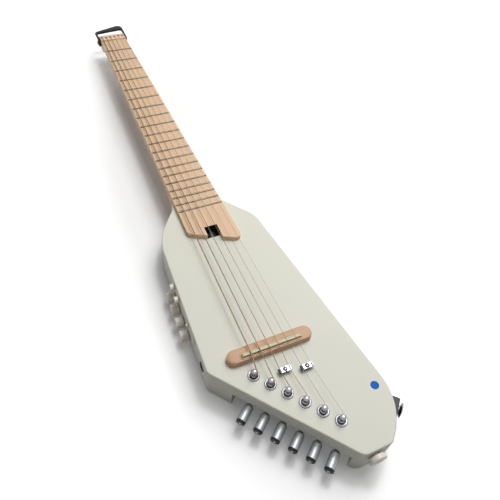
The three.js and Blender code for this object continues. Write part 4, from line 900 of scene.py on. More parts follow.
class GuitarSizes(bpy.types.PropertyGroup):
    """Small sizes that the finish of the guitar depends on."""

    body_edge: length("Body edge", "Radius of the body's rounded rims", 1.5)
    board_edge: length("Fretboard edge", "Radius of the fretboard's upper rim", 0.6)
    bridge_rim: length("Bridge rim", "Height of the bridge pad's upright rim", 2.2)
    fret_width: length("Fret width", "Width of a fret wire", 2.4)
    fret_height: length("Fret height", "Height of a fret's crown over the board", 1.1)
    thickest_string: length("Low string", "Diameter of the lowest string", 1.32)
    knob_edge: length("Knob edge", "Radius of a large knob's front edge", 0.9)
    button_diameter: length("Tuner button", "Diameter of a tuner button", 9.6)
    post_waist: length("Post waist", "Diameter of a tuner post where the string winds",
                       2 * POST_WAIST_RADIUS)
    jack_dish: length("Jack plate dish", "Depth of the dish in the round jack plate", 1.6)


class GuitarColours(bpy.types.PropertyGroup):
    """Base colours of the finishes."""

    paint: colour("Body paint", "Satin off-white lacquer", "#DCDBCE")
    maple: colour("Neck and fretboard", "Pale maple", "#E2C1A0")
    bridge_wood: colour("Bridge", "Oiled bridge wood", "#C8A282")
    # This paler tone is a painted highlight on the ledge round the saddle
    ledge_highlight_tone: colour("Saddle recess", "Bridge wood without oil", "#E8CBA0")
    bone: colour("Saddle", "Polished bone", "#BCB08E")
    nut_bone: colour("Nut", "Aged bone", "#E6CDAA")
    black: colour("Black plastic", "Loop, cup, caps and jack", "#101114")
    black_metal: colour("Black metal", "Loop screws and truss rod nut", "#7E8084")
    cream: colour("Cream plastic", "Knobs, plates and back cover", "#EAE2D6")
    grey: colour("Strap block", "Dark grey nylon", "#1C2024")
    # The chrome colour is drawn darker than chrome: painted shade of the room it mirrors
    chrome: colour("Chrome", "Posts, trees, cap screws and neck plate", "#94969A")
    # The fret colour is drawn dark: painted shade of the room the wire mirrors, and the lamps give its
    # highlights
    fret_metal: colour("Frets", "Nickel silver fret wire", "#5C564B")
    steel: colour("Steel", "Screws, truss rod, tuner rings and strap button", "#8E9094")
    # This dark tone is painted shade on the tree wings, groove linings and string hole sleeves, and
    # partly on the tree screw heads
    dark_steel: colour("Dark steel", "Tree screws, tree ends and string holes", "#4C4A43")
    wire: colour("Plain strings", "Drawn steel wire", "#6E685E")
    gunmetal: colour("Tuner metal", "Buttons and housings", "#A2A4A6")
    bronze: colour("Wound strings", "Phosphor bronze winding", "#86725A")
    blue: colour("Round marker", "Blue enamel", "#0064C8")
    board_green: colour("Circuit board", "Lacquer of the preamp board", "#24523A")


class StudioSettings(bpy.types.PropertyGroup):
    """Lamps and floor of the studio."""

    key_power: bpy.props.FloatProperty(
        name="Key lamp", description="Power of the large lamp beyond the treble side",
        default=5.2, min=0.0, subtype="POWER", unit="POWER")
    top_power: bpy.props.FloatProperty(
        name="Top lamp", description="Power of the softbox over the treble side",
        default=11.1, min=0.0, subtype="POWER", unit="POWER")
    small_power: bpy.props.FloatProperty(
        name="Small lamp", description="Power of the small lamp that draws the strings' shadows",
        default=3.6, min=0.0, subtype="POWER", unit="POWER")
    fill_power: bpy.props.FloatProperty(
        name="Fill lamp", description="Power of the weak low lamp that lifts the bass wall",
        default=0.85, min=0.0, subtype="POWER", unit="POWER")
    sky_level: bpy.props.FloatProperty(
        name="Sky light", description="Even light from all round", default=0.12, min=0.0)
    floor_tone: bpy.props.FloatProperty(
        name="Floor tone", description="How much light the floor sends back", default=0.56,
        min=0.0, max=1.0)


def seen_directly(tree):
    """One where the camera, a reflection or a clear piece shows the surface, and zero elsewhere."""
    path = add_node(tree, "ShaderNodeLightPath")
    seen = add_node(tree, "ShaderNodeMath", {0: path.outputs["Is Camera Ray"],
                                             1: path.outputs["Is Glossy Ray"]}, operation="MAXIMUM")
    clear = add_node(tree, "ShaderNodeMath", {0: seen.outputs["Value"],
                                              1: path.outputs["Is Transmission Ray"]},
                     operation="MAXIMUM")
    return clear.outputs["Value"]


# Builders

class GUITAR_OT_body(bpy.types.Operator):
    """Painted body with its tuner rebate, neck pocket, cavity and bores"""

    bl_idname = "guitar.body"
    bl_label = "Body"

    def execute(self, context):
        edge = context.scene.guitar_sizes.body_edge / MM
        shell = plate(BODY_CORNERS, 0, BODY_TOP, edge, edge, steps=14, edge_steps=6)
        end = TAIL_WALL.length
        above, pocket_end = BODY_TOP + OVERRUN, TENON_END - GAP
        pocket = [(side * (board_half(y) + GAP), y, 0) for side, y in (
            (-1, pocket_end), (1, pocket_end), (1, HEEL_START), (-1, HEEL_START))]
        cuts = [
            block(-OVERRUN, REBATE_DEPTH, end - REBATE_ENDS[1], end - REBATE_ENDS[0], -OVERRUN,
                  HOUSING_TOP + GAP, TAIL_WALL),
            plate(pocket, BODY_TOP - HEEL_DEPTH - GAP, above, steps=1),
            block(*grown((*CUP_SIDES, *CUP_ENDS), GAP), CUP_BOTTOM - GAP, above),
            plate(box_corners(*grown(NECK_PLATE_BOX, GAP), NECK_PLATE_CORNER + GAP), -OVERRUN,
                  NECK_PLATE_INSIDE + GAP),
            plate(box_corners(*grown(COVER_BOX, GAP), COVER_CORNER), -OVERRUN, COVER_INSIDE + GAP,
                  wall=BASS_WALL),
            block(*CAVITY_BOX, -OVERRUN, CAVITY_ROOF, BASS_WALL),
            rod(MARKER_RADIUS + GAP, (*MARKER, BODY_TOP - MARKER_DEPTH), (*MARKER, above)),
        ]
        for index in range(STRING_COUNT):
            seat = TAIL_WALL.place((POST_INSET, post_along(index), 0))
            cuts.append(rod(SLEEVE_RADIUS + GAP, seat, seat + (0, 0, above)))
        for x, y, _ in TREES:
            cuts.append(rod(TREE_SHANK + GAP, (x, y, TREE_SHANK_END - GAP), (x, y, above), 20))
        holes = [(KNOB_BORE, KNOB_ALONG + KNOB_PITCH * i, KNOB_HEIGHT, KNOB_BORE_DEPTH)
                 for i in range(4)]
        holes += [(SMALL_BORE, KNOB_ALONG + KNOB_PITCH * i, SMALL_HEIGHT, KNOB_BORE_DEPTH)
                  for i in (2, 3)]
        holes += [(PUSH_SHAFT + GAP, PUSH_ALONG, PUSH_HEIGHT, KNOB_BORE_DEPTH),
                  (SOCKET_RADIUS + GAP, SOCKET_ALONG, SMALL_HEIGHT, SOCKET_DEPTH + GAP),
                  (JACK_PLATE_RADIUS + GAP, JACK_ALONG, JACK_HEIGHT, JACK_PLATE_DEPTH + GAP),
                  (JACK_RADIUS + GAP, JACK_ALONG, JACK_HEIGHT, JACK_DEPTH + GAP)]
        for radius, along, height, depth in holes:
            cuts.append(rod(radius, BASS_WALL.place((-OVERRUN, along, height)),
                            BASS_WALL.place((depth, along, height)), 40))
        for x, y in BOLTS:
            cuts.append(rod(BOLT_RADIUS + GAP, (x, y, -OVERRUN), (x, y, BOLT_TIP + GAP), 20))
        piece_of("body_shell", [shell], "satin_white_paint", "guitar", ["body"],
                 cuts)
        return {"FINISHED"}


class GUITAR_OT_fretboard(bpy.types.Operator):
    """Fretboard with a slanted end, twenty fret wires and the slotted nut"""

    bl_idname = "guitar.fretboard"
    bl_label = "Fretboard, frets and nut"

    def execute(self, context):
        sizes = context.scene.guitar_sizes
        half, below, above = NUT_WIDTH / 2, BODY_TOP - OVERRUN, BOARD_TOP + OVERRUN
        outline = [(-board_half(BOARD_BASS_END), BOARD_BASS_END, BOARD_BASS_CORNER),
                   (board_half(BOARD_TREBLE_END), BOARD_TREBLE_END, BOARD_TREBLE_CORNER),
                   (half, NUT_Y, 0), (half, HEAD_END, 0), (-half, HEAD_END, 0), (-half, NUT_Y, 0)]
        board = plate(outline, BODY_TOP, BOARD_TOP, 0, sizes.board_edge / MM, steps=12)
        cuts = [block(CUP_SIDES[0] - GAP, CUP_SIDES[1] + GAP, BOARD_TREBLE_END - OVERRUN,
                      CUP_ENDS[1] + GAP, below, above),
                block(*grown((-NUT_HALF, NUT_HALF, NUT_Y, NUT_Y + NUT_THICKNESS), GAP), NUT_FLOOR,
                      above)]
        holes, bores = [], []
        for index in range(STRING_COUNT):
            x = string_x(NUT_SPREAD, index)
            # Each string hole gets a dark sleeve round its bore: painted shade for the shadow in the hole
            shade_rim = HOLE_RADIUS + HOLE_SHADE_WIDTH
            cuts.append(rod(shade_rim - OVERLAP, (x, HOLE_Y, below), (x, HOLE_Y, above), 24))
            holes.append(rod(shade_rim, (x, HOLE_Y, BODY_TOP + HOLE_SHADE_WIDTH / 2),
                             (x, HOLE_Y, BOARD_TOP - HOLE_SHADE_WIDTH), 24))
            bores.append(rod(HOLE_RADIUS, (x, HOLE_Y, below), (x, HOLE_Y, above), 24))
        piece_of("maple_board", [board], "satin_maple", "guitar", ["fretboard"], cuts)
        piece_of("string_hole_sleeves", holes, "phosphated_steel", "guitar", ["fretboard"],
                 bores)
        # The notch walls stand in shadow: the thin black film on them is painted shade
        piece_of("notch_stain", [self.painted_shade_film()], "moulded_black_nylon", "guitar", ["fretboard"])
        wires = [self.wire(n, sizes.fret_width / MM / 2, sizes.fret_height / MM)
                 for n in range(1, FRET_COUNT + 1)]
        piece_of("fret_wires", wires, "rolled_nickel_silver", "guitar", ["fretboard"],
                 crease=50)
        piece_of("slotted_nut", [self.nut()], "aged_bone", "guitar", ["nut"], crease=40)
        return {"FINISHED"}

    @staticmethod
    def painted_shade_film():
        """A black film of painted shade on the three walls of the notch over the truss rod cup, where the
        walls stand in shadow.
        """
        (x0, x1), (y0, y1) = CUP_SIDES, CUP_ENDS
        outer = np.array([(x0 - GAP, y0), (x0 - GAP, y1 + GAP), (x1 + GAP, y1 + GAP),
                          (x1 + GAP, y0 + CUP_WALL)])
        inner = outer[::-1] + np.array([(-1, 0), (-1, -1), (1, -1), (1, 0)]) * SHADE_FILM_THICKNESS
        ring = np.vstack([outer, inner])[::-1]
        return skin(np.stack([np.column_stack([ring, np.full(8, z)])
                              for z in (BODY_TOP + OVERLAP, BOARD_TOP - 2 * SHADE_FILM_THICKNESS)]))

    @staticmethod
    def wire(number, half_width, crown):
        """One fret wire. Its section is a half ellipse over a short tang, and near both ends the
        section shrinks along a quarter circle, so that the ends are rounded over."""
        y = NUT_Y - SCALE_LENGTH * (1 - 2 ** (-number / 12))
        reach = board_half(y) - FRET_INSET
        angle = np.linspace(0, np.pi, 13)
        section = np.vstack([np.column_stack([np.cos(angle) * half_width, np.sin(angle) * crown]),
                             [(-half_width, -FRET_TANG), (half_width, -FRET_TANG)]])
        bend = np.linspace(0, np.pi / 2, 6)
        x = np.concatenate([-reach + FRET_END_BEND * (1 - np.cos(bend)),
                            reach - FRET_END_BEND * (1 - np.cos(bend[::-1]))])
        size = np.concatenate([0.3 + 0.7 * np.sin(bend), 0.3 + 0.7 * np.sin(bend[::-1])])
        height = np.where(section[:, 1] > 0, section[:, 1] * size[:, None], section[:, 1])
        across = section[:, 0] * (0.7 + 0.3 * size[:, None])
        return skin(np.stack([np.broadcast_to(x[:, None], height.shape), y + across,
                              BOARD_TOP + height], -1))

    @staticmethod
    def nut():
        """The nut is a rounded bar. Its top is lowered at each string by the depth of a round
        slot: the part of a circle of the string's size that lies under the top."""
        slot_clear, floor_lift, corner, corner_slope = 0.12, 0.02, 0.7, 0.8
        x = np.linspace(-NUT_HALF, NUT_HALF, 420)
        top = NUT_TOP - np.clip(np.abs(x) - NUT_HALF + corner, 0, 1) * corner_slope
        for index in range(STRING_COUNT):
            radius = string_diameter(index) / 2 + slot_clear
            away = np.abs(x - string_x(NUT_SPREAD, index))
            floor = NUT_SEAT + floor_lift + radius - np.sqrt(np.maximum(radius ** 2 - away ** 2, 0))
            top = np.where(away < radius, np.minimum(top, floor), top)
        share = np.array([0.0, 0.0, 0.85, 0.97, 1.0, 1.0, 0.97, 0.85])
        side = np.array([0.0, 1.0, 1.0, 0.96, 0.85, 0.15, 0.04, 0.0]) * NUT_THICKNESS
        height = NUT_FLOOR + (top[:, None] - NUT_FLOOR) * share
        return skin(np.stack([np.broadcast_to(x[:, None], height.shape),
                              np.broadcast_to(NUT_Y + side, height.shape), height], -1))


class GUITAR_OT_neck(bpy.types.Operator):
    """Neck with its heel and its squarer head"""

    bl_idname = "guitar.neck"
    bl_label = "Neck"

    def execute(self, context):
        steps = 36
        turn = np.linspace(0, np.pi, steps + 1)
        ease = np.linspace(0, 1, 14)
        smooth = ease ** 2 * (3 - 2 * ease)
        heel_y = HEEL_FULL + (HEEL_START - HEEL_FULL) * ease
        heel_depth = HEEL_DEPTH + (NECK_DEPTH_AT_BODY - HEEL_DEPTH) * smooth
        heel_power = 9 + (2.3 - 9) * smooth
        head_y = np.append(HEAD_START + HEAD_STEP * np.arange(5), HEAD_END)
        y = np.concatenate([[TENON_END], heel_y, head_y])
        depth = np.concatenate([[HEEL_DEPTH], heel_depth, np.full(6, NECK_DEPTH_AT_NUT)])
        power = np.concatenate([[9], heel_power, [2.3, 2.6, 4, 10, 24, 24]])
        cuts = [block(-BAR_HALF[0] - GAP, BAR_HALF[0] + GAP, HOLE_Y - BAR_HALF[1] - GAP,
                      HOLE_Y + BAR_HALF[1] + GAP, 0, BAR_HEIGHTS[1] + GAP),
                block(*ROD_SLOT, ROD_SLOT_FLOOR, BODY_TOP + OVERRUN)]
        cuts += [rod(BOLT_RADIUS + GAP, (x, bolt_y, 0), (x, bolt_y, BOLT_TIP + GAP), 20)
                 for x, bolt_y in BOLTS]
        cuts += [rod(HOLE_RADIUS, (x, HOLE_Y, BAR_HEIGHTS[0]), (x, HOLE_Y, BODY_TOP + OVERRUN), 24)
                 for x in string_x(NUT_SPREAD, range(STRING_COUNT))]
        piece_of("maple_neck", [self.sections(y, depth, power, turn)], "satin_maple", "guitar",
                 ["neck"], cuts, crease=40)
        return {"FINISHED"}

    @staticmethod
    def sections(y, depth, power, turn):
        """Rings across the neck. Half the width times cos ** (2 / power) gives the place across,
        and the side wall plus the rest of the depth times sin ** (2 / power) the place below."""
        shape = 2 / power[:, None]
        across = np.sign(np.cos(turn)) * np.abs(np.cos(turn)) ** shape * board_half(y)[:, None]
        down = NECK_WALL + (depth[:, None] - NECK_WALL) * np.abs(np.sin(turn)) ** shape
        down[:, [0, -1]] = NECK_WALL
        corner = board_half(y)[:, None] * np.array([-1.0, 1.0])
        x = np.hstack([across, corner])
        z = BODY_TOP - np.hstack([down, np.zeros_like(corner)])
        return skin(np.stack([x, np.broadcast_to(y[:, None], x.shape), z], -1))


class GUITAR_OT_bridge(bpy.types.Operator):
    """Bridge pad with a routed groove, the rim in the groove drawn paler as a painted highlight, and the
    saddle
    """

    bl_idname = "guitar.bridge"
    bl_label = "Bridge and saddle"

    def execute(self, context):
        rim = context.scene.guitar_sizes.bridge_rim / MM
        x0, x1 = SADDLE_SIDES
        y0, y1 = SADDLE_ENDS
        groove = plate(box_corners(*grown((x0, x1, y0, y1), GROOVE_WIDTH), GROOVE_CORNER),
                       PAD_CREST - GROOVE_DEPTH, PAD_CREST + OVERRUN, steps=14)
        slot = block(*grown((x0, x1, y0, y1), GAP), SLOT_FLOOR, PAD_CREST + OVERRUN)
        piece_of("bridge_pad", [self.pad(rim)], "oiled_bridge_wood", "guitar", ["bridge"],
                 [groove, slot], crease=40)
        # The ledge ring is drawn in paler wood: a painted highlight of its lit rim
        ring = plate(box_corners(*grown((x0, x1, y0, y1), LEDGE_WIDTH), LEDGE_CORNER),
                     PAD_CREST - GROOVE_DEPTH, PAD_CREST + GROOVE_DEPTH, 0, GROOVE_DEPTH, steps=14)
        piece_of("bridge_ledge", [ring], "bare_bridge_wood", "guitar", ["bridge"],
                 [slot], crease=40)
        x = np.linspace(x0, x1, 130)
        end = np.clip((np.abs(x - (x0 + x1) / 2) - (x1 - x0) / 2) / SADDLE_END_BEND + 1, 0, 1)
        top = SADDLE_TOP - SADDLE_END_DROP * (1 - np.sqrt(1 - end ** 2))
        share = np.array([0.0, 0.0, 0.88, 0.96, 1.0, 1.0, 0.985, 0.95])
        side = y0 + (y1 - y0) * np.array([0.0, 1.0, 1.0, 0.925, 0.7, 0.15, 0.05, 0.0])
        height = SADDLE_FOOT + (top[:, None] - SADDLE_FOOT) * share
        saddle = skin(np.stack([np.broadcast_to(x[:, None], height.shape),
                                np.broadcast_to(side, height.shape), height], -1))
        piece_of("bone_saddle", [saddle], "polished_bone", "guitar", ["saddle"], crease=50)
        return {"FINISHED"}

    @staticmethod
    def pad(rim):
        """A long pad with round ends and a crown. Above its rim it climbs in rings from the pad's
        own outline to a crest round the saddle. At the angle a, a ring lies cos(a) ** 0.4 of the
        way out from crest to rim, and sin(a) ** 0.4 of the way up."""
        bend = np.linspace(0, np.pi / 2, 14)
        out = np.append(1, np.cos(bend) ** 0.4)[:, None]
        up = np.append(0, np.sin(bend) ** 0.4)
        low = np.append(BODY_TOP, BODY_TOP + rim + (PAD_CREST - BODY_TOP - rim) * up[1:])
        crest = np.array(grown((*SADDLE_SIDES, *SADDLE_ENDS), CREST_WIDTH))
        edge = np.array([*PAD_SIDES, *PAD_ENDS])
        rings = []
        for (x0, x1, y0, y1), z in zip(crest + (edge - crest) * out, low):
            outline = soften(box_corners(x0, x1, y0, y1, 0.49 * (y1 - y0)), 18)
            rings.append(np.column_stack([outline, np.full(len(outline), z)]))
        return skin(np.array(rings))


class GUITAR_OT_access(bpy.types.Operator):
    """Cup at the end of the fretboard, and the truss rod nut in it"""

    bl_idname = "guitar.access"
    bl_label = "Truss rod cup and nut"

    def execute(self, context):
        cup_box = (*CUP_SIDES, *CUP_ENDS)
        cup = plate(box_corners(*cup_box, CUP_CORNER), CUP_BOTTOM, BODY_TOP - GAP, 0, CUP_RIM)
        room = plate(box_corners(*grown(cup_box, -CUP_WALL), CUP_CORNER), CUP_BOTTOM + CUP_WALL,
                     BODY_TOP + OVERRUN)
        seat, axis = np.array(ROD_NUT), np.array([0.0, 1.0, 0.0])
        wall = axis * (CUP_ENDS[1] - ROD_NUT[1])
        through = rod(ROD_RADIUS + 2 * GAP, seat + wall - axis * OVERRUN, seat + wall + axis * OVERRUN)
        piece_of("access_cup", [cup], "moulded_black_nylon", "guitar", ["truss_access_cup"],
                 [room, through])
        radius, length, (off, along) = ROD_NUT_RADIUS, ROD_NUT_LENGTH, ROD_NUT_BEVEL
        hexagon = turned([(0, 0), (radius - off, 0), (radius, along), (radius, length - along),
                          (radius - off, length), (0, length)], seat, axis, 6)
        socket = turned([(0, -OVERRUN), (ROD_NUT_SOCKET, -OVERRUN), (ROD_NUT_SOCKET, ROD_END),
                         (0, ROD_END)], seat, axis, 6)
        piece_of("rod_nut", [hexagon], "black_plated_nickel", "truss_rod_nut", ["truss_rod_nut"],
                 [socket, rod(ROD_RADIUS + GAP, seat + axis * ROD_END,
                                       seat + axis * (length + OVERRUN))])
        return {"FINISHED"}


class GUITAR_OT_loop(bpy.types.Operator):
    """Hanging loop round the head, and its two screws"""

    bl_idname = "guitar.loop"
    bl_label = "Hanging loop"

    def execute(self, context):
        outer, inner, foot, tip = LOOP_OUTER, LOOP_INNER, LOOP_FOOT, 1.4
        outline = [(outer, foot, tip), (outer, 711, 8.5), (-outer, 694, 7), (-outer, foot, tip),
                   (-inner, foot, tip), (-inner, 690, 3), (inner, 695.6, 3), (inner, foot, tip)]
        ring = plate(outline, *LOOP_HEIGHTS, 0.9, 1.2, steps=12, edge_steps=6)
        ears = [plate(box_corners(*sorted((side * inner, side * outer)), foot + GAP, EAR_END, 1.2),
                      *EAR_HEIGHTS, 0.6, 0) for side in (-1, 1)]
        bores = [rod(LOOP_SCREW_RADIUS + GAP, (side * (inner - OVERRUN), *LOOP_SCREW),
                     (side * (outer + OVERRUN), *LOOP_SCREW), 24) for side in (-1, 1)]
        piece_of("head_loop", [ring], "moulded_black_nylon", "guitar", ["hanging_loop"],
                 bores, ears)
        for side, node in ((-1, "loop_screw_bass"), (1, "loop_screw_treble")):
            axis = np.array([side, 0.0, 0.0])
            face = np.array([side * (outer + GAP), *LOOP_SCREW])
            shank = LOOP_SCREW_RADIUS
            head = turned([(0, -12), (shank, -12), (shank, 0), (3, 0), (3, 0.7, 0.3), (1.6, 1.2, 0.6),
                           (0, 1.2)], face, axis, 32)
            piece_of("loop_" + node.split("_")[-1] + "_screw", [head], "black_plated_nickel", "guitar",
                     [node], cross_slot(face + axis * 1.2, axis, 3.2, 0.7))
        return {"FINISHED"}


class GUITAR_OT_strings(bpy.types.Operator):
    """Six strings with their ball ends and their turns round the posts"""

    bl_idname = "guitar.strings"
    bl_label = "Strings"

    def execute(self, context):
        for index, name in enumerate(STRING_NAMES):
            path = string_path(index)
            wound = index < WOUND_STRINGS
            parts = [tube(path, string_diameter(index) / 2), ball(BALL_RADIUS, path[0])]
            piece_of("string_" + name + "_wire", parts, "wound_string" if wound else "drawn_steel_string",
                     "guitar", ["string_" + name], crease=60)
        return {"FINISHED"}


class GUITAR_OT_tuners(bpy.types.Operator):
    """Tuner housings in the rebate, posts on the top and turning buttons under the tail"""

    bl_idname = "guitar.tuners"
    bl_label = "Tuners"

    def execute(self, context):
        for index in range(STRING_COUNT):
            along = post_along(index)
            self.housing(index + 1, along)
            self.post(index + 1, along, context.scene.guitar_sizes.post_waist / MM / 2)
            self.button(index + 1, along, context.scene.guitar_sizes.button_diameter / MM / 2)
        return {"FINISHED"}

    @staticmethod
    def housing(number, along):
        case = plate(box_corners(*HOUSING_INWARD, along + HOUSING_ALONG[0], along + HOUSING_ALONG[1],
                                 2.4), HOUSING_FLOOR, HOUSING_TOP, 0.8, 0.4, wall=TAIL_WALL)
        worm_at = along - WORM_OFFSET
        worm = TAIL_WALL.place((13.5, worm_at, WORM_HEIGHT))
        nose = turned([(0, 0), (3.2, 0), (3.2, 7.75, 0.4), (2.2, 8.75, 0.4), (0, 8.75)], worm,
                      -TAIL_WALL.inward, 36)
        seat = TAIL_WALL.place((POST_INSET, along, HOUSING_TOP))
        outer, bore = SLEEVE_RADIUS, POST_RADIUS + GAP
        sleeve = turned([(0, -1), (outer, -1), (outer, 17.33), (6, 17.33), (6, 18.0, 0.1),
                         (5.2, 18.9, 0.7), (3.9, 18.6, 0.6), (bore, 17.9), (0, 17.9)], seat,
                        (0, 0, 1), 64)
        foot = TAIL_WALL.place((POST_INSET, along, HOUSING_FLOOR + 0.5))
        gear_cap = turned([(0, 0), (4.6, 0), (4.6, 1.1, 0.4), (0, 1.1)], foot, (0, 0, -1), 40)
        rooms = [rod(5.3, seat - (0, 0, 8), seat - (0, 0, 3.4)),
                 rod(bore, seat - (0, 0, 8), seat + (0, 0, 22))]
        rooms += [rod(radius, TAIL_WALL.place((start, worm_at, WORM_HEIGHT)),
                      TAIL_WALL.place((end, worm_at, WORM_HEIGHT)))
                  for radius, start, end in ((2.5, 24.2, 14.5), (BUTTON_SHAFT + GAP, 19, 1))]
        rooms += cross_slot(foot - (0, 0, 1.1), (0, 0, -1), 3.4, 0.6)
        piece_of(f"tuner_case_{number}", [case], "brushed_gunmetal", "guitar",
                 [f"tuner_housing_{number}"], rooms, [nose, gear_cap])
        sleeve_bore = rod(bore, seat - (0, 0, 3), seat + (0, 0, 22), 48)
        piece_of(f"tuner_bushing_{number}", [sleeve], "zinc_plated_steel", "guitar",
                 [f"tuner_housing_{number}"], [sleeve_bore])

    @staticmethod
    def post(number, along, waist):
        """A post turned from bar, with a domed head, and its worm wheel of fourteen teeth."""
        radius = POST_RADIUS
        dome = np.linspace(0, np.pi / 2, 9)
        head = np.column_stack([radius * np.cos(dome), 33.5 + 1.7 * np.sin(dome)])
        profile = [(0, 0), (radius, 0), (radius, 26.9, 0.2), (waist, 27.6, 0.4), (waist, 32.8, 0.4),
                   (radius, 33.4, 0.15), *head]
        seat = TAIL_WALL.place((POST_INSET, along, POST_FOOT))
        shaft = turned(profile, seat, (0, 0, 1), 48)
        wheel = turned([(0, 0), (4.3, 0), (4.3, 4), (0, 4)], seat, (0, 0, 1), 112,
                       lambda angle, _: 1 + 0.09 * np.clip(1.8 * np.cos(14 * angle), -1, 1))
        piece_of(f"tuner_peg_{number}", [shaft], "polished_chrome", f"tuner_{number}_post",
                 [f"tuner_post_{number}"], joins=[wheel])

    @staticmethod
    def button(number, along, radius):
        """The shaft with its worm, whose thread is a ridge round the shaft that advances 3 mm a
        turn, the turned button, its black end cap and the cap's screw."""
        seat = TAIL_WALL.place((POST_INSET, along - WORM_OFFSET, WORM_HEIGHT))
        axis = -TAIL_WALL.inward
        body, node = f"tuner_{number}_button", [f"tuner_button_{number}"]
        half = WORM_LENGTH / 2
        worm = turned([(0, -half), *((WORM_RADIUS, h) for h in np.linspace(-half, half, 40)), (0, half)],
                      seat, axis, 24,
                      lambda angle, h: 1 + 0.12 * np.cos(angle - 2 * np.pi * h / WORM_LEAD))
        (start, end), (cap_start, cap_end) = BUTTON_ENDS, CAP_ENDS
        grip = turned([(0, half - 2 * OVERLAP), (BUTTON_SHAFT, half - 2 * OVERLAP),
                       (BUTTON_SHAFT, start), (radius - 2.4, start, 0.6), (radius, start + 3.3, 2.4),
                       (radius, end), (0, end)], seat, axis, 56)
        piece_of(f"tuner_grip_{number}", [worm, grip], "brushed_gunmetal", body, node)
        rim = radius - 3 * OVERLAP
        cap = turned([(0, cap_start), (rim, cap_start, 0.1), (rim, cap_end, 0.75), (0, cap_end)], seat,
                     axis, 56)
        piece_of(f"tuner_cap_{number}", [cap], "moulded_black_nylon", body, node)
        screw = turned([(0, -1), (1.5, -1), (1.5, -0.4, 0.3), (0.9, 0, 0.3), (0, 0)],
                       seat + axis * CAP_SCREW_END, axis, 28)
        piece_of(f"tuner_cap_screw_{number}", [screw], "polished_chrome", body, node,
                 cross_slot(seat + axis * CAP_SCREW_END, axis, 1.9, 0.4))


class GUITAR_OT_trees(bpy.types.Operator):
    """Two string trees behind the bridge"""

    bl_idname = "guitar.trees"
    bl_label = "String trees"

    def execute(self, context):
        for number, (x, y, strings) in enumerate(TREES, 1):
            floor = BODY_TOP + TREE_STRING_HEIGHT + string_diameter(strings[0]) / 2 + STRING_CLEAR
            self.bar(number, x, y, floor)
            self.screw(number, np.array([x, y, floor + TREE_PLATE + SCREW_STANDS]))
        return {"FINISHED"}

    @staticmethod
    def bar(number, x, y, floor):
        """The bent bar on its foot, with a groove over each string. Its left wing and the linings in its
        grooves are dark pieces of painted shade, where the end face and the grooves stand in shadow.
        """
        top, foot_level = floor + TREE_PLATE, floor - TREE_DROP
        half, inner, deep = TREE_LENGTH / 2, TREE_LENGTH / 2 - TREE_WING, TREE_WIDTH / 2
        up, node = (0, 0, 1), [f"string_tree_{number}"]
        outline = soften([
            (-inner, floor, 0.3), (inner, floor, 0.3), (inner, foot_level, 0.3),
            (half, foot_level, 0.3), (half, top, 0.9), (-inner, top, 0.5)], 6)
        rows = np.array([-deep, LINING - deep, deep - LINING, deep])[:, None]
        bar = skin(np.stack(np.broadcast_arrays(x + outline[:, 0], y + rows, outline[:, 1]), -1))
        seat = np.array([x, y, floor - OVERLAP])
        low = BODY_TOP + TREE_FOOT_LIFT - floor
        foot = turned([(0, low), (TREE_FOOT, low), (TREE_FOOT, 0.2), (0, 0.2)], seat, up, 36)
        tip = TREE_SHANK_END - floor
        shank = turned([(0, tip), (TREE_SHANK, tip + 1), (TREE_SHANK, 0.1), (0, 0.1)], seat, up, 24)
        grooves = [(x + side * TREE_STRING_SIDE - TREE_GROOVE / 2,
                    x + side * TREE_STRING_SIDE + TREE_GROOVE / 2) for side in (-1, 1)]
        cuts = [rod(2.5, (x, y, top - 0.7), (x, y, top + OVERRUN))]
        cuts += [block(*sides, y - deep - GAP, y + deep + GAP, floor + 0.35, top + OVERRUN)
                 for sides in grooves]
        piece_of(f"tree_bar_{number}", [bar], "polished_chrome", "guitar", node, cuts,
                 [foot, shank])
        # The left wing and the groove linings are dark: painted shade of the shaded end face and grooves
        slope = np.array([(-half, foot_level), (-inner, foot_level), (-inner, top - LINING),
                          (-half, floor - LINING)])
        wing = skin(np.stack([np.column_stack([x + slope[:, 0], np.full(4, y_end), slope[:, 1]])
                              for y_end in (y - deep, y + deep)]))
        groove_shades = [block(*sides, y - deep + LINING, y + deep - LINING, floor + 0.3, floor + 0.4)
                   for sides in grooves]
        piece_of(f"tree_wing_{number}", [wing, *groove_shades], "phosphated_steel", "guitar", node)

    @staticmethod
    def screw(number, face):
        """The dark screw head, whose dark ring is partly painted shade of the countersink round it, and
        its bright core in a bore.
        """
        up, node = np.array([0.0, 0.0, 1.0]), [f"string_tree_{number}"]
        # The dark head ring is partly painted shade of the countersink
        head = turned([(0, -1.7), (2.3, -1.7), (2.3, -0.5, 0.3), (1.5, 0, 0.7), (0, 0)], face, up, 36)
        piece_of(f"tree_screw_{number}", [head], "phosphated_steel", "guitar", node,
                 [rod(SCREW_CORE, face - up * 0.6, face + up)])
        core = turned([(0, -1.5), (SCREW_CORE, -1.5), (SCREW_CORE, -0.3, 0.2), (0, -0.2)], face, up, 24)
        piece_of(f"tree_screw_core_{number}", [core], "polished_chrome", "guitar", node)


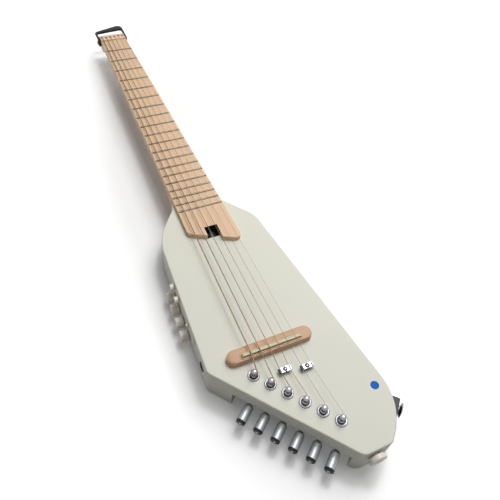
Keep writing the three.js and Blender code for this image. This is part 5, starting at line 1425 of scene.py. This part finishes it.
class GUITAR_OT_controls(bpy.types.Operator):
    """Four large knobs, two small knobs and a push button on the bass wall"""

    bl_idname = "guitar.controls"
    bl_label = "Knobs and button"

    def execute(self, context):
        edge = context.scene.guitar_sizes.knob_edge / MM
        out = -BASS_WALL.inward
        knobs = [(name, *KNOB, KNOB_SHAFT, edge, i, KNOB_HEIGHT) for i, name in enumerate(KNOB_NAMES)]
        knobs += [(name, *SMALL_KNOB, SMALL_SHAFT, SMALL_KNOB_EDGE, i, SMALL_HEIGHT)
                  for i, name in ((2, "mix_knob"), (3, "gain_knob"))]
        for name, radius, reach, shaft, soft, place, height in knobs:
            seat = BASS_WALL.place((0, KNOB_ALONG + KNOB_PITCH * place, height))
            front = KNOB_CLEAR + reach
            body = turned([(0, -SHAFT_DEPTH), (shaft, -SHAFT_DEPTH), (shaft, KNOB_CLEAR),
                           (radius, KNOB_CLEAR, 0.25), (radius, front, soft),
                           (radius - 1.6 * soft, front, 0.2), (0, front - 0.12)], seat, out, 64)
            piece_of(name + "_cap", [body], "moulded_cream_abs", name, [name])
        seat = BASS_WALL.place((0, PUSH_ALONG, PUSH_HEIGHT))
        shaft, radius, back, front = PUSH_SHAFT, 2 * PUSH_SHAFT, PUSH_ENDS[0], PUSH_ENDS[1]
        push = turned([(0, -10), (shaft, -10), (shaft, back), (radius, back, 0.1), (radius, front, 0.5),
                       (0, front)], seat, out, 40)
        piece_of("power_button_cap", [push], "moulded_cream_abs", "power_button", ["power_button"])
        return {"FINISHED"}


class GUITAR_OT_sockets(bpy.types.Operator):
    """Dished jack plate with its jack, and the headphone socket"""

    bl_idname = "guitar.sockets"
    bl_label = "Sockets"

    def execute(self, context):
        dish = context.scene.guitar_sizes.jack_dish / MM
        out = -BASS_WALL.inward
        seat = BASS_WALL.place((0, JACK_ALONG, JACK_HEIGHT))
        rim, back = JACK_PLATE_RADIUS, -JACK_PLATE_DEPTH
        plate_ring = turned([(0, back), (rim, back), (rim, GAP, 0.35), (rim - 1.2, GAP, 0.5),
                             (6.2, -dish, 0.8), (0, -dish)], seat, out, 72)
        piece_of("jack_dish", [plate_ring], "moulded_cream_abs", "guitar", ["jack_plate"],
                 [rod(4.8, seat - out * 5, seat + out * 2, 48)])
        jack = turned([(0, -JACK_DEPTH), (JACK_RADIUS, -JACK_DEPTH, 0.5), (JACK_RADIUS, back - GAP),
                       (4.5, back - GAP), (4.5, -1.5), (5.5, -1.3), (5.5, GAP, 0.3), (4.3, GAP, 0.2),
                       (3.9, -0.1), (0, -0.1)], seat, out, 56)
        piece_of("jack_body", [jack], "moulded_black_nylon", "guitar", ["output_jack"],
                 [rod(JACK_BORE, seat - out * (JACK_DEPTH - 1.3), seat + out * OVERRUN, 48)])
        seat = BASS_WALL.place((0, SOCKET_ALONG, SMALL_HEIGHT))
        radius, collar = SOCKET_RADIUS, SOCKET_RADIUS + 1
        socket = turned([(0, -SOCKET_DEPTH), (radius, -SOCKET_DEPTH), (radius, GAP),
                         (collar, GAP, 0.1), (collar, 1.2, 0.5), (0, 1.2)], seat, out, 48)
        piece_of("headphone_ring", [socket], "moulded_cream_abs", "guitar", ["headphone_socket"],
                 [rod(SOCKET_BORE, seat - out * (SOCKET_DEPTH - 1), seat + out * OVERRUN, 36)])
        return {"FINISHED"}


class GUITAR_OT_strap(bpy.types.Operator):
    """Strap block with its dark button, and the pale button on the short tail wall"""

    bl_idname = "guitar.strap"
    bl_label = "Strap fittings"

    def execute(self, context):
        corner, cut_point = BODY_CORNERS[6, :2], BODY_CORNERS[5, :2]
        along = unit(corner - cut_point)
        outward = np.array([along[1], -along[0]])
        tip = corner + along * BLOCK_OVERHANG
        foot, back = tip - along * BLOCK_LENGTH, tip - outward * BLOCK_DEPTH
        wedge = plate([(*foot, 0.6), (*tip, 1.2), (*back, 0.6)], *BLOCK_HEIGHTS, 0.8, 0.8, steps=6)
        wall = BODY_CORNERS + np.array([*outward * GAP, 0])
        seat = np.array([*(tip - along * STRAP_BUTTON_FROM_TIP), STRAP_BUTTON_HEIGHT])
        axis = np.array([*outward, 0.0])
        piece_of("strap_wedge", [wedge], "satin_grey_nylon", "guitar", ["strap_block"],
                 [plate(wall, -OVERRUN, BODY_TOP + OVERRUN, steps=14),
                  rod(STRAP_SCREW + GAP, seat - axis * STRAP_SCREW_LENGTH, seat + axis * 3, 24)])
        screw = [(0, -STRAP_SCREW_LENGTH), (STRAP_SCREW, OVERRUN - STRAP_SCREW_LENGTH),
                 (STRAP_SCREW, GAP)]
        button = turned([*screw, (3.75, GAP, 0.2), (3.4, 2.4, 1.2), (7.5, 4.1, 0.2),
                         (7.5, 4.6, 0.25), (5, 5.5, 1.2), (0, 5.6)], seat, axis, 64)
        piece_of("strap_knob", [button], "zinc_plated_steel", "guitar", ["strap_button"])
        seat, axis = np.array([TAIL_BUTTON[0], cut_point[1], TAIL_BUTTON[1]]), np.array([0, -1.0, 0])
        button = turned([*screw, (4.5, GAP, 0.2), (4.5, 1.2, 0.3), (8.8, 1.9, 0.5), (8.8, 6.6, 0.9),
                         (3.4, 6.6, 0.4), (3, 5.6, 0.3), (0, 5.6)], seat, axis, 64)
        piece_of("tail_knob", [button], "moulded_cream_abs", "guitar", ["end_button"],
                 cross_slot(seat + axis * 5.6, axis, 3.6, 0.8))
        return {"FINISHED"}


class GUITAR_OT_marker(bpy.types.Operator):
    """Round enamel marker in the top"""

    bl_idname = "guitar.marker"
    bl_label = "Round marker"

    def execute(self, context):
        radius, low = MARKER_RADIUS, -MARKER_DEPTH - 0.1
        disc = turned([(0, low), (radius, low), (radius, OVERLAP, 0.15), (0, 0.2)],
                      (*MARKER, BODY_TOP), (0, 0, 1), 56)
        piece_of("enamel_marker", [disc], "satin_blue_enamel", "guitar", ["round_marker"])
        return {"FINISHED"}


class GUITAR_OT_back(bpy.types.Operator):
    """Back cover, neck plate with its bolts, and the bar that takes the ball ends"""

    bl_idname = "guitar.back"
    bl_label = "Back pieces"

    def execute(self, context):
        down = np.array([0.0, 0.0, -1.0])
        spots = [BASS_WALL.place((*place, GAP)) for place in COVER_SCREWS]
        cover = plate(box_corners(*COVER_BOX, COVER_CORNER), GAP, COVER_INSIDE, 0.5, 0, wall=BASS_WALL)
        head, shank = COVER_SCREW
        cuts = [turned([(0, 0.5), (head + GAP, 0.5), (head + GAP, -1.5), (shank + GAP, -1.7),
                        (shank + GAP, -4), (0, -4)], spot, down, 36) for spot in spots]
        piece_of("battery_cover", [cover], "moulded_cream_abs", "guitar", ["back_cover"],
                 cuts)
        for number, spot in enumerate(spots, 1):
            screw = turned([(0, -10.5), (shank, -10), (shank, -1.2), (head, -1.2), (head, -0.4, 0.3),
                            (1.6, 0, 0.8), (0, 0)], spot, down, 36)
            piece_of(f"cover_fixing_{number}", [screw], "zinc_plated_steel", "guitar",
                     [f"cover_screw_{number}"], cross_slot(spot, down, 3.2, 0.8))
        sheet = plate(box_corners(*NECK_PLATE_BOX, NECK_PLATE_CORNER), GAP, NECK_PLATE_INSIDE, 0.5, 0.2)
        places = [np.array([*spot, GAP]) for spot in BOLTS]
        wells = [turned([(0, 0.5), (4.4, 0.5), (4.2, 0), (2.5, -1.9), (2.5, -4), (0, -4)], spot, down, 40)
                 for spot in places]
        piece_of("neck_joint_plate", [sheet], "polished_chrome", "guitar", ["neck_plate_with_bolts"],
                 wells)
        bolts = [turned([(0, GAP - BOLT_TIP), (BOLT_RADIUS, 1 - BOLT_TIP), (BOLT_RADIUS, -1.9),
                         (3.9, -0.3, 0.2), (3.4, 0, 0.4), (0, 0.1)], spot, down, 40) for spot in places]
        slots = [bar for spot in places for bar in cross_slot(spot, down, 4.4, 1.0)]
        piece_of("neck_joint_bolts", bolts, "polished_chrome", "guitar", ["neck_plate_with_bolts"],
                 slots)
        (half, deep), (low, high) = BAR_HALF, BAR_HEIGHTS
        bar = plate(box_corners(-half, half, HOLE_Y - deep, HOLE_Y + deep, 0.6), low, high, 0.4, 0.1)
        bores = []
        for x in string_x(NUT_SPREAD, range(STRING_COUNT)):
            bores += [rod(BALL_RADIUS + GAP, (x, HOLE_Y, low - OVERRUN),
                          (x, HOLE_Y, BALL_CENTRE + BALL_RADIUS), 28),
                      rod(BAR_HOLE, (x, HOLE_Y, low - 1), (x, HOLE_Y, high + OVERRUN), 20)]
        piece_of("ball_end_bar", [bar], "zinc_plated_steel", "guitar", ["string_ferrule_bar"],
                 bores)
        return {"FINISHED"}


class GUITAR_OT_inside(bpy.types.Operator):
    """Finishes of the pieces that stay inside: truss rod, pickup strip, preamp and battery"""

    bl_idname = "guitar.inside"
    bl_label = "Inner pieces"

    def execute(self, context):
        inner = {"truss_rod": "zinc_plated_steel", "under_saddle_pickup": "polished_chrome",
                 "preamp_board": "lacquered_board", "battery_with_clip": "moulded_black_nylon"}
        for node, finish in inner.items():
            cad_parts[node].material_slots[0].material = finish_of(finish)
        return {"FINISHED"}


class GUITAR_OT_studio(bpy.types.Operator):
    """White studio: floor, lamps, sky light and the camera"""

    bl_idname = "guitar.studio"
    bl_label = "Studio"

    def execute(self, context):
        scene, studio = context.scene, context.scene.guitar_studio
        scene.view_settings.view_transform = "Standard"
        self.floor(studio.floor_tone)
        for name, (place, target, size) in LAMPS.items():
            self.lamp(name, place, target, size, getattr(studio, name.replace("lamp", "power")))
        self.sky(scene, studio.sky_level)
        self.camera(scene)
        return {"FINISHED"}

    @staticmethod
    def floor(tone):
        """A wide flat sheet. It is pale grey to the lamps, and to the camera and in reflections it
        is white with a glow that grows away from the guitar, in ellipses that are three times as
        long as they are wide, so that only its shadows show. The far floor glows as white as
        the sky, where the lamps no longer reach."""
        points = np.array([(-1, -1), (1, -1), (1, 1), (-1, 1)]) * FLOOR_HALF
        mesh = bpy.data.meshes.new("studio_floor")
        mesh.from_pydata(np.column_stack([points, np.full(4, -FLOOR_DROP)]), [], [(0, 1, 2, 3)])
        sheet = bpy.data.objects.new("studio_floor", mesh)
        bpy.context.scene.collection.objects.link(sheet)
        material = bpy.data.materials.new("white_studio_floor")
        material.use_nodes = True
        tree = material.node_tree
        tree.nodes.clear()
        seen = seen_directly(tree)
        spot = add_node(tree, "ShaderNodeTexCoord").outputs["Object"]
        flat = add_node(tree, "ShaderNodeVectorMath", {0: spot, 1: GLOW_STRETCH}, operation="MULTIPLY")
        away = add_node(tree, "ShaderNodeVectorMath", {0: flat.outputs["Vector"], 1: GLOW_CENTRE},
                        operation="DISTANCE")
        outer = add_node(tree, "ShaderNodeMapRange", {"Value": away.outputs["Value"], "From Min": 0.1,
                                                      "From Max": 0.19, "To Min": 0.03, "To Max": 0.42})
        far = add_node(tree, "ShaderNodeMapRange", {"Value": away.outputs["Value"], "From Min": 0.35,
                                                    "From Max": 1.0, "To Max": 1.0})
        total = add_node(tree, "ShaderNodeMath", {0: outer.outputs["Result"],
                                                  1: far.outputs["Result"]})
        white = add_node(tree, "ShaderNodeMapRange", {"Value": seen, "To Min": tone, "To Max": 1.0})
        lifted = add_node(tree, "ShaderNodeMath", {0: seen, 1: total.outputs["Value"]},
                          operation="MULTIPLY")
        matt = add_node(tree, "ShaderNodeBsdfDiffuse", {"Color": white.outputs["Result"]})
        glow = add_node(tree, "ShaderNodeEmission", {"Strength": lifted.outputs["Value"]})
        both = add_node(tree, "ShaderNodeAddShader", {0: matt.outputs[0], 1: glow.outputs[0]})
        add_node(tree, "ShaderNodeOutputMaterial", {"Surface": both.outputs[0]})
        mesh.materials.append(material)

    @staticmethod
    def lamp(name, place, target, size, power):
        light = bpy.data.lights.new(name, "AREA")
        light.shape, light.size, light.energy = "SQUARE", size, power
        lamp = bpy.data.objects.new(name, light)
        aim = unit(np.array(place) - np.array(target))
        _, across, up = side_axes(aim)
        lamp.matrix_world = Matrix(np.vstack([np.column_stack([across, up, aim, place]), (0, 0, 0, 1)]))
        bpy.context.scene.collection.objects.link(lamp)

    @staticmethod
    def sky(scene, level):
        """Even light from all round, seen as white by the camera and in reflections."""
        world = bpy.data.worlds.new("studio_sky")
        scene.world = world
        world.use_nodes = True
        tree = world.node_tree
        tree.nodes.clear()
        strength = add_node(tree, "ShaderNodeMapRange", {"Value": seen_directly(tree), "To Min": level,
                                                         "To Max": 1.0})
        light = add_node(tree, "ShaderNodeBackground", {"Color": (1, 1, 1, 1),
                                                        "Strength": strength.outputs["Result"]})
        add_node(tree, "ShaderNodeOutputWorld", {"Surface": light.outputs["Background"]})

    @staticmethod
    def camera(scene):
        """The photograph's place and aim."""
        lens = bpy.data.cameras.new("camera")
        lens.lens, lens.sensor_width, lens.sensor_fit = CAMERA_LENS, CAMERA_SENSOR, "HORIZONTAL"
        lens.clip_start, lens.clip_end = 0.01, 50.0
        eye = bpy.data.objects.new("camera", lens)
        eye.location, eye.rotation_euler = CAMERA_PLACE, np.radians(CAMERA_TURNS)
        scene.collection.objects.link(eye)
        scene.camera = eye


BUILDERS = (
    GUITAR_OT_body, GUITAR_OT_fretboard, GUITAR_OT_neck, GUITAR_OT_bridge, GUITAR_OT_access,
    GUITAR_OT_loop, GUITAR_OT_strings, GUITAR_OT_tuners, GUITAR_OT_trees, GUITAR_OT_controls,
    GUITAR_OT_sockets, GUITAR_OT_strap, GUITAR_OT_marker, GUITAR_OT_back, GUITAR_OT_inside,
    GUITAR_OT_studio)


class GUITAR_PT_panel(bpy.types.Panel):
    """Lists the sizes, the colours and the builders"""

    bl_idname = "GUITAR_PT_panel"
    bl_label = "Headless travel guitar"
    bl_space_type = "VIEW_3D"
    bl_region_type = "UI"
    bl_category = "Guitar"

    def draw(self, context):
        for title, group in (("Sizes", context.scene.guitar_sizes),
                             ("Colours", context.scene.guitar_colours),
                             ("Studio", context.scene.guitar_studio)):
            box = self.layout.box()
            box.label(text=title)
            for name in group.__annotations__:
                box.prop(group, name)
        column = self.layout.column(align=True)
        for builder in BUILDERS:
            column.operator(builder.bl_idname)


CLASSES = (GuitarSizes, GuitarColours, StudioSettings, *BUILDERS, GUITAR_PT_panel)


def register():
    for item in CLASSES:
        bpy.utils.register_class(item)
    bpy.types.Scene.guitar_sizes = bpy.props.PointerProperty(type=GuitarSizes)
    bpy.types.Scene.guitar_colours = bpy.props.PointerProperty(type=GuitarColours)
    bpy.types.Scene.guitar_studio = bpy.props.PointerProperty(type=StudioSettings)


def unregister():
    del bpy.types.Scene.guitar_studio
    del bpy.types.Scene.guitar_colours
    del bpy.types.Scene.guitar_sizes
    for item in reversed(CLASSES):
        bpy.utils.unregister_class(item)


def main():
    """Registers the add-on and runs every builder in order."""
    register()
    for builder in BUILDERS:
        group, operator = builder.bl_idname.split(".")
        getattr(getattr(bpy.ops, group), operator)()


if __name__ == "__main__":
    main()
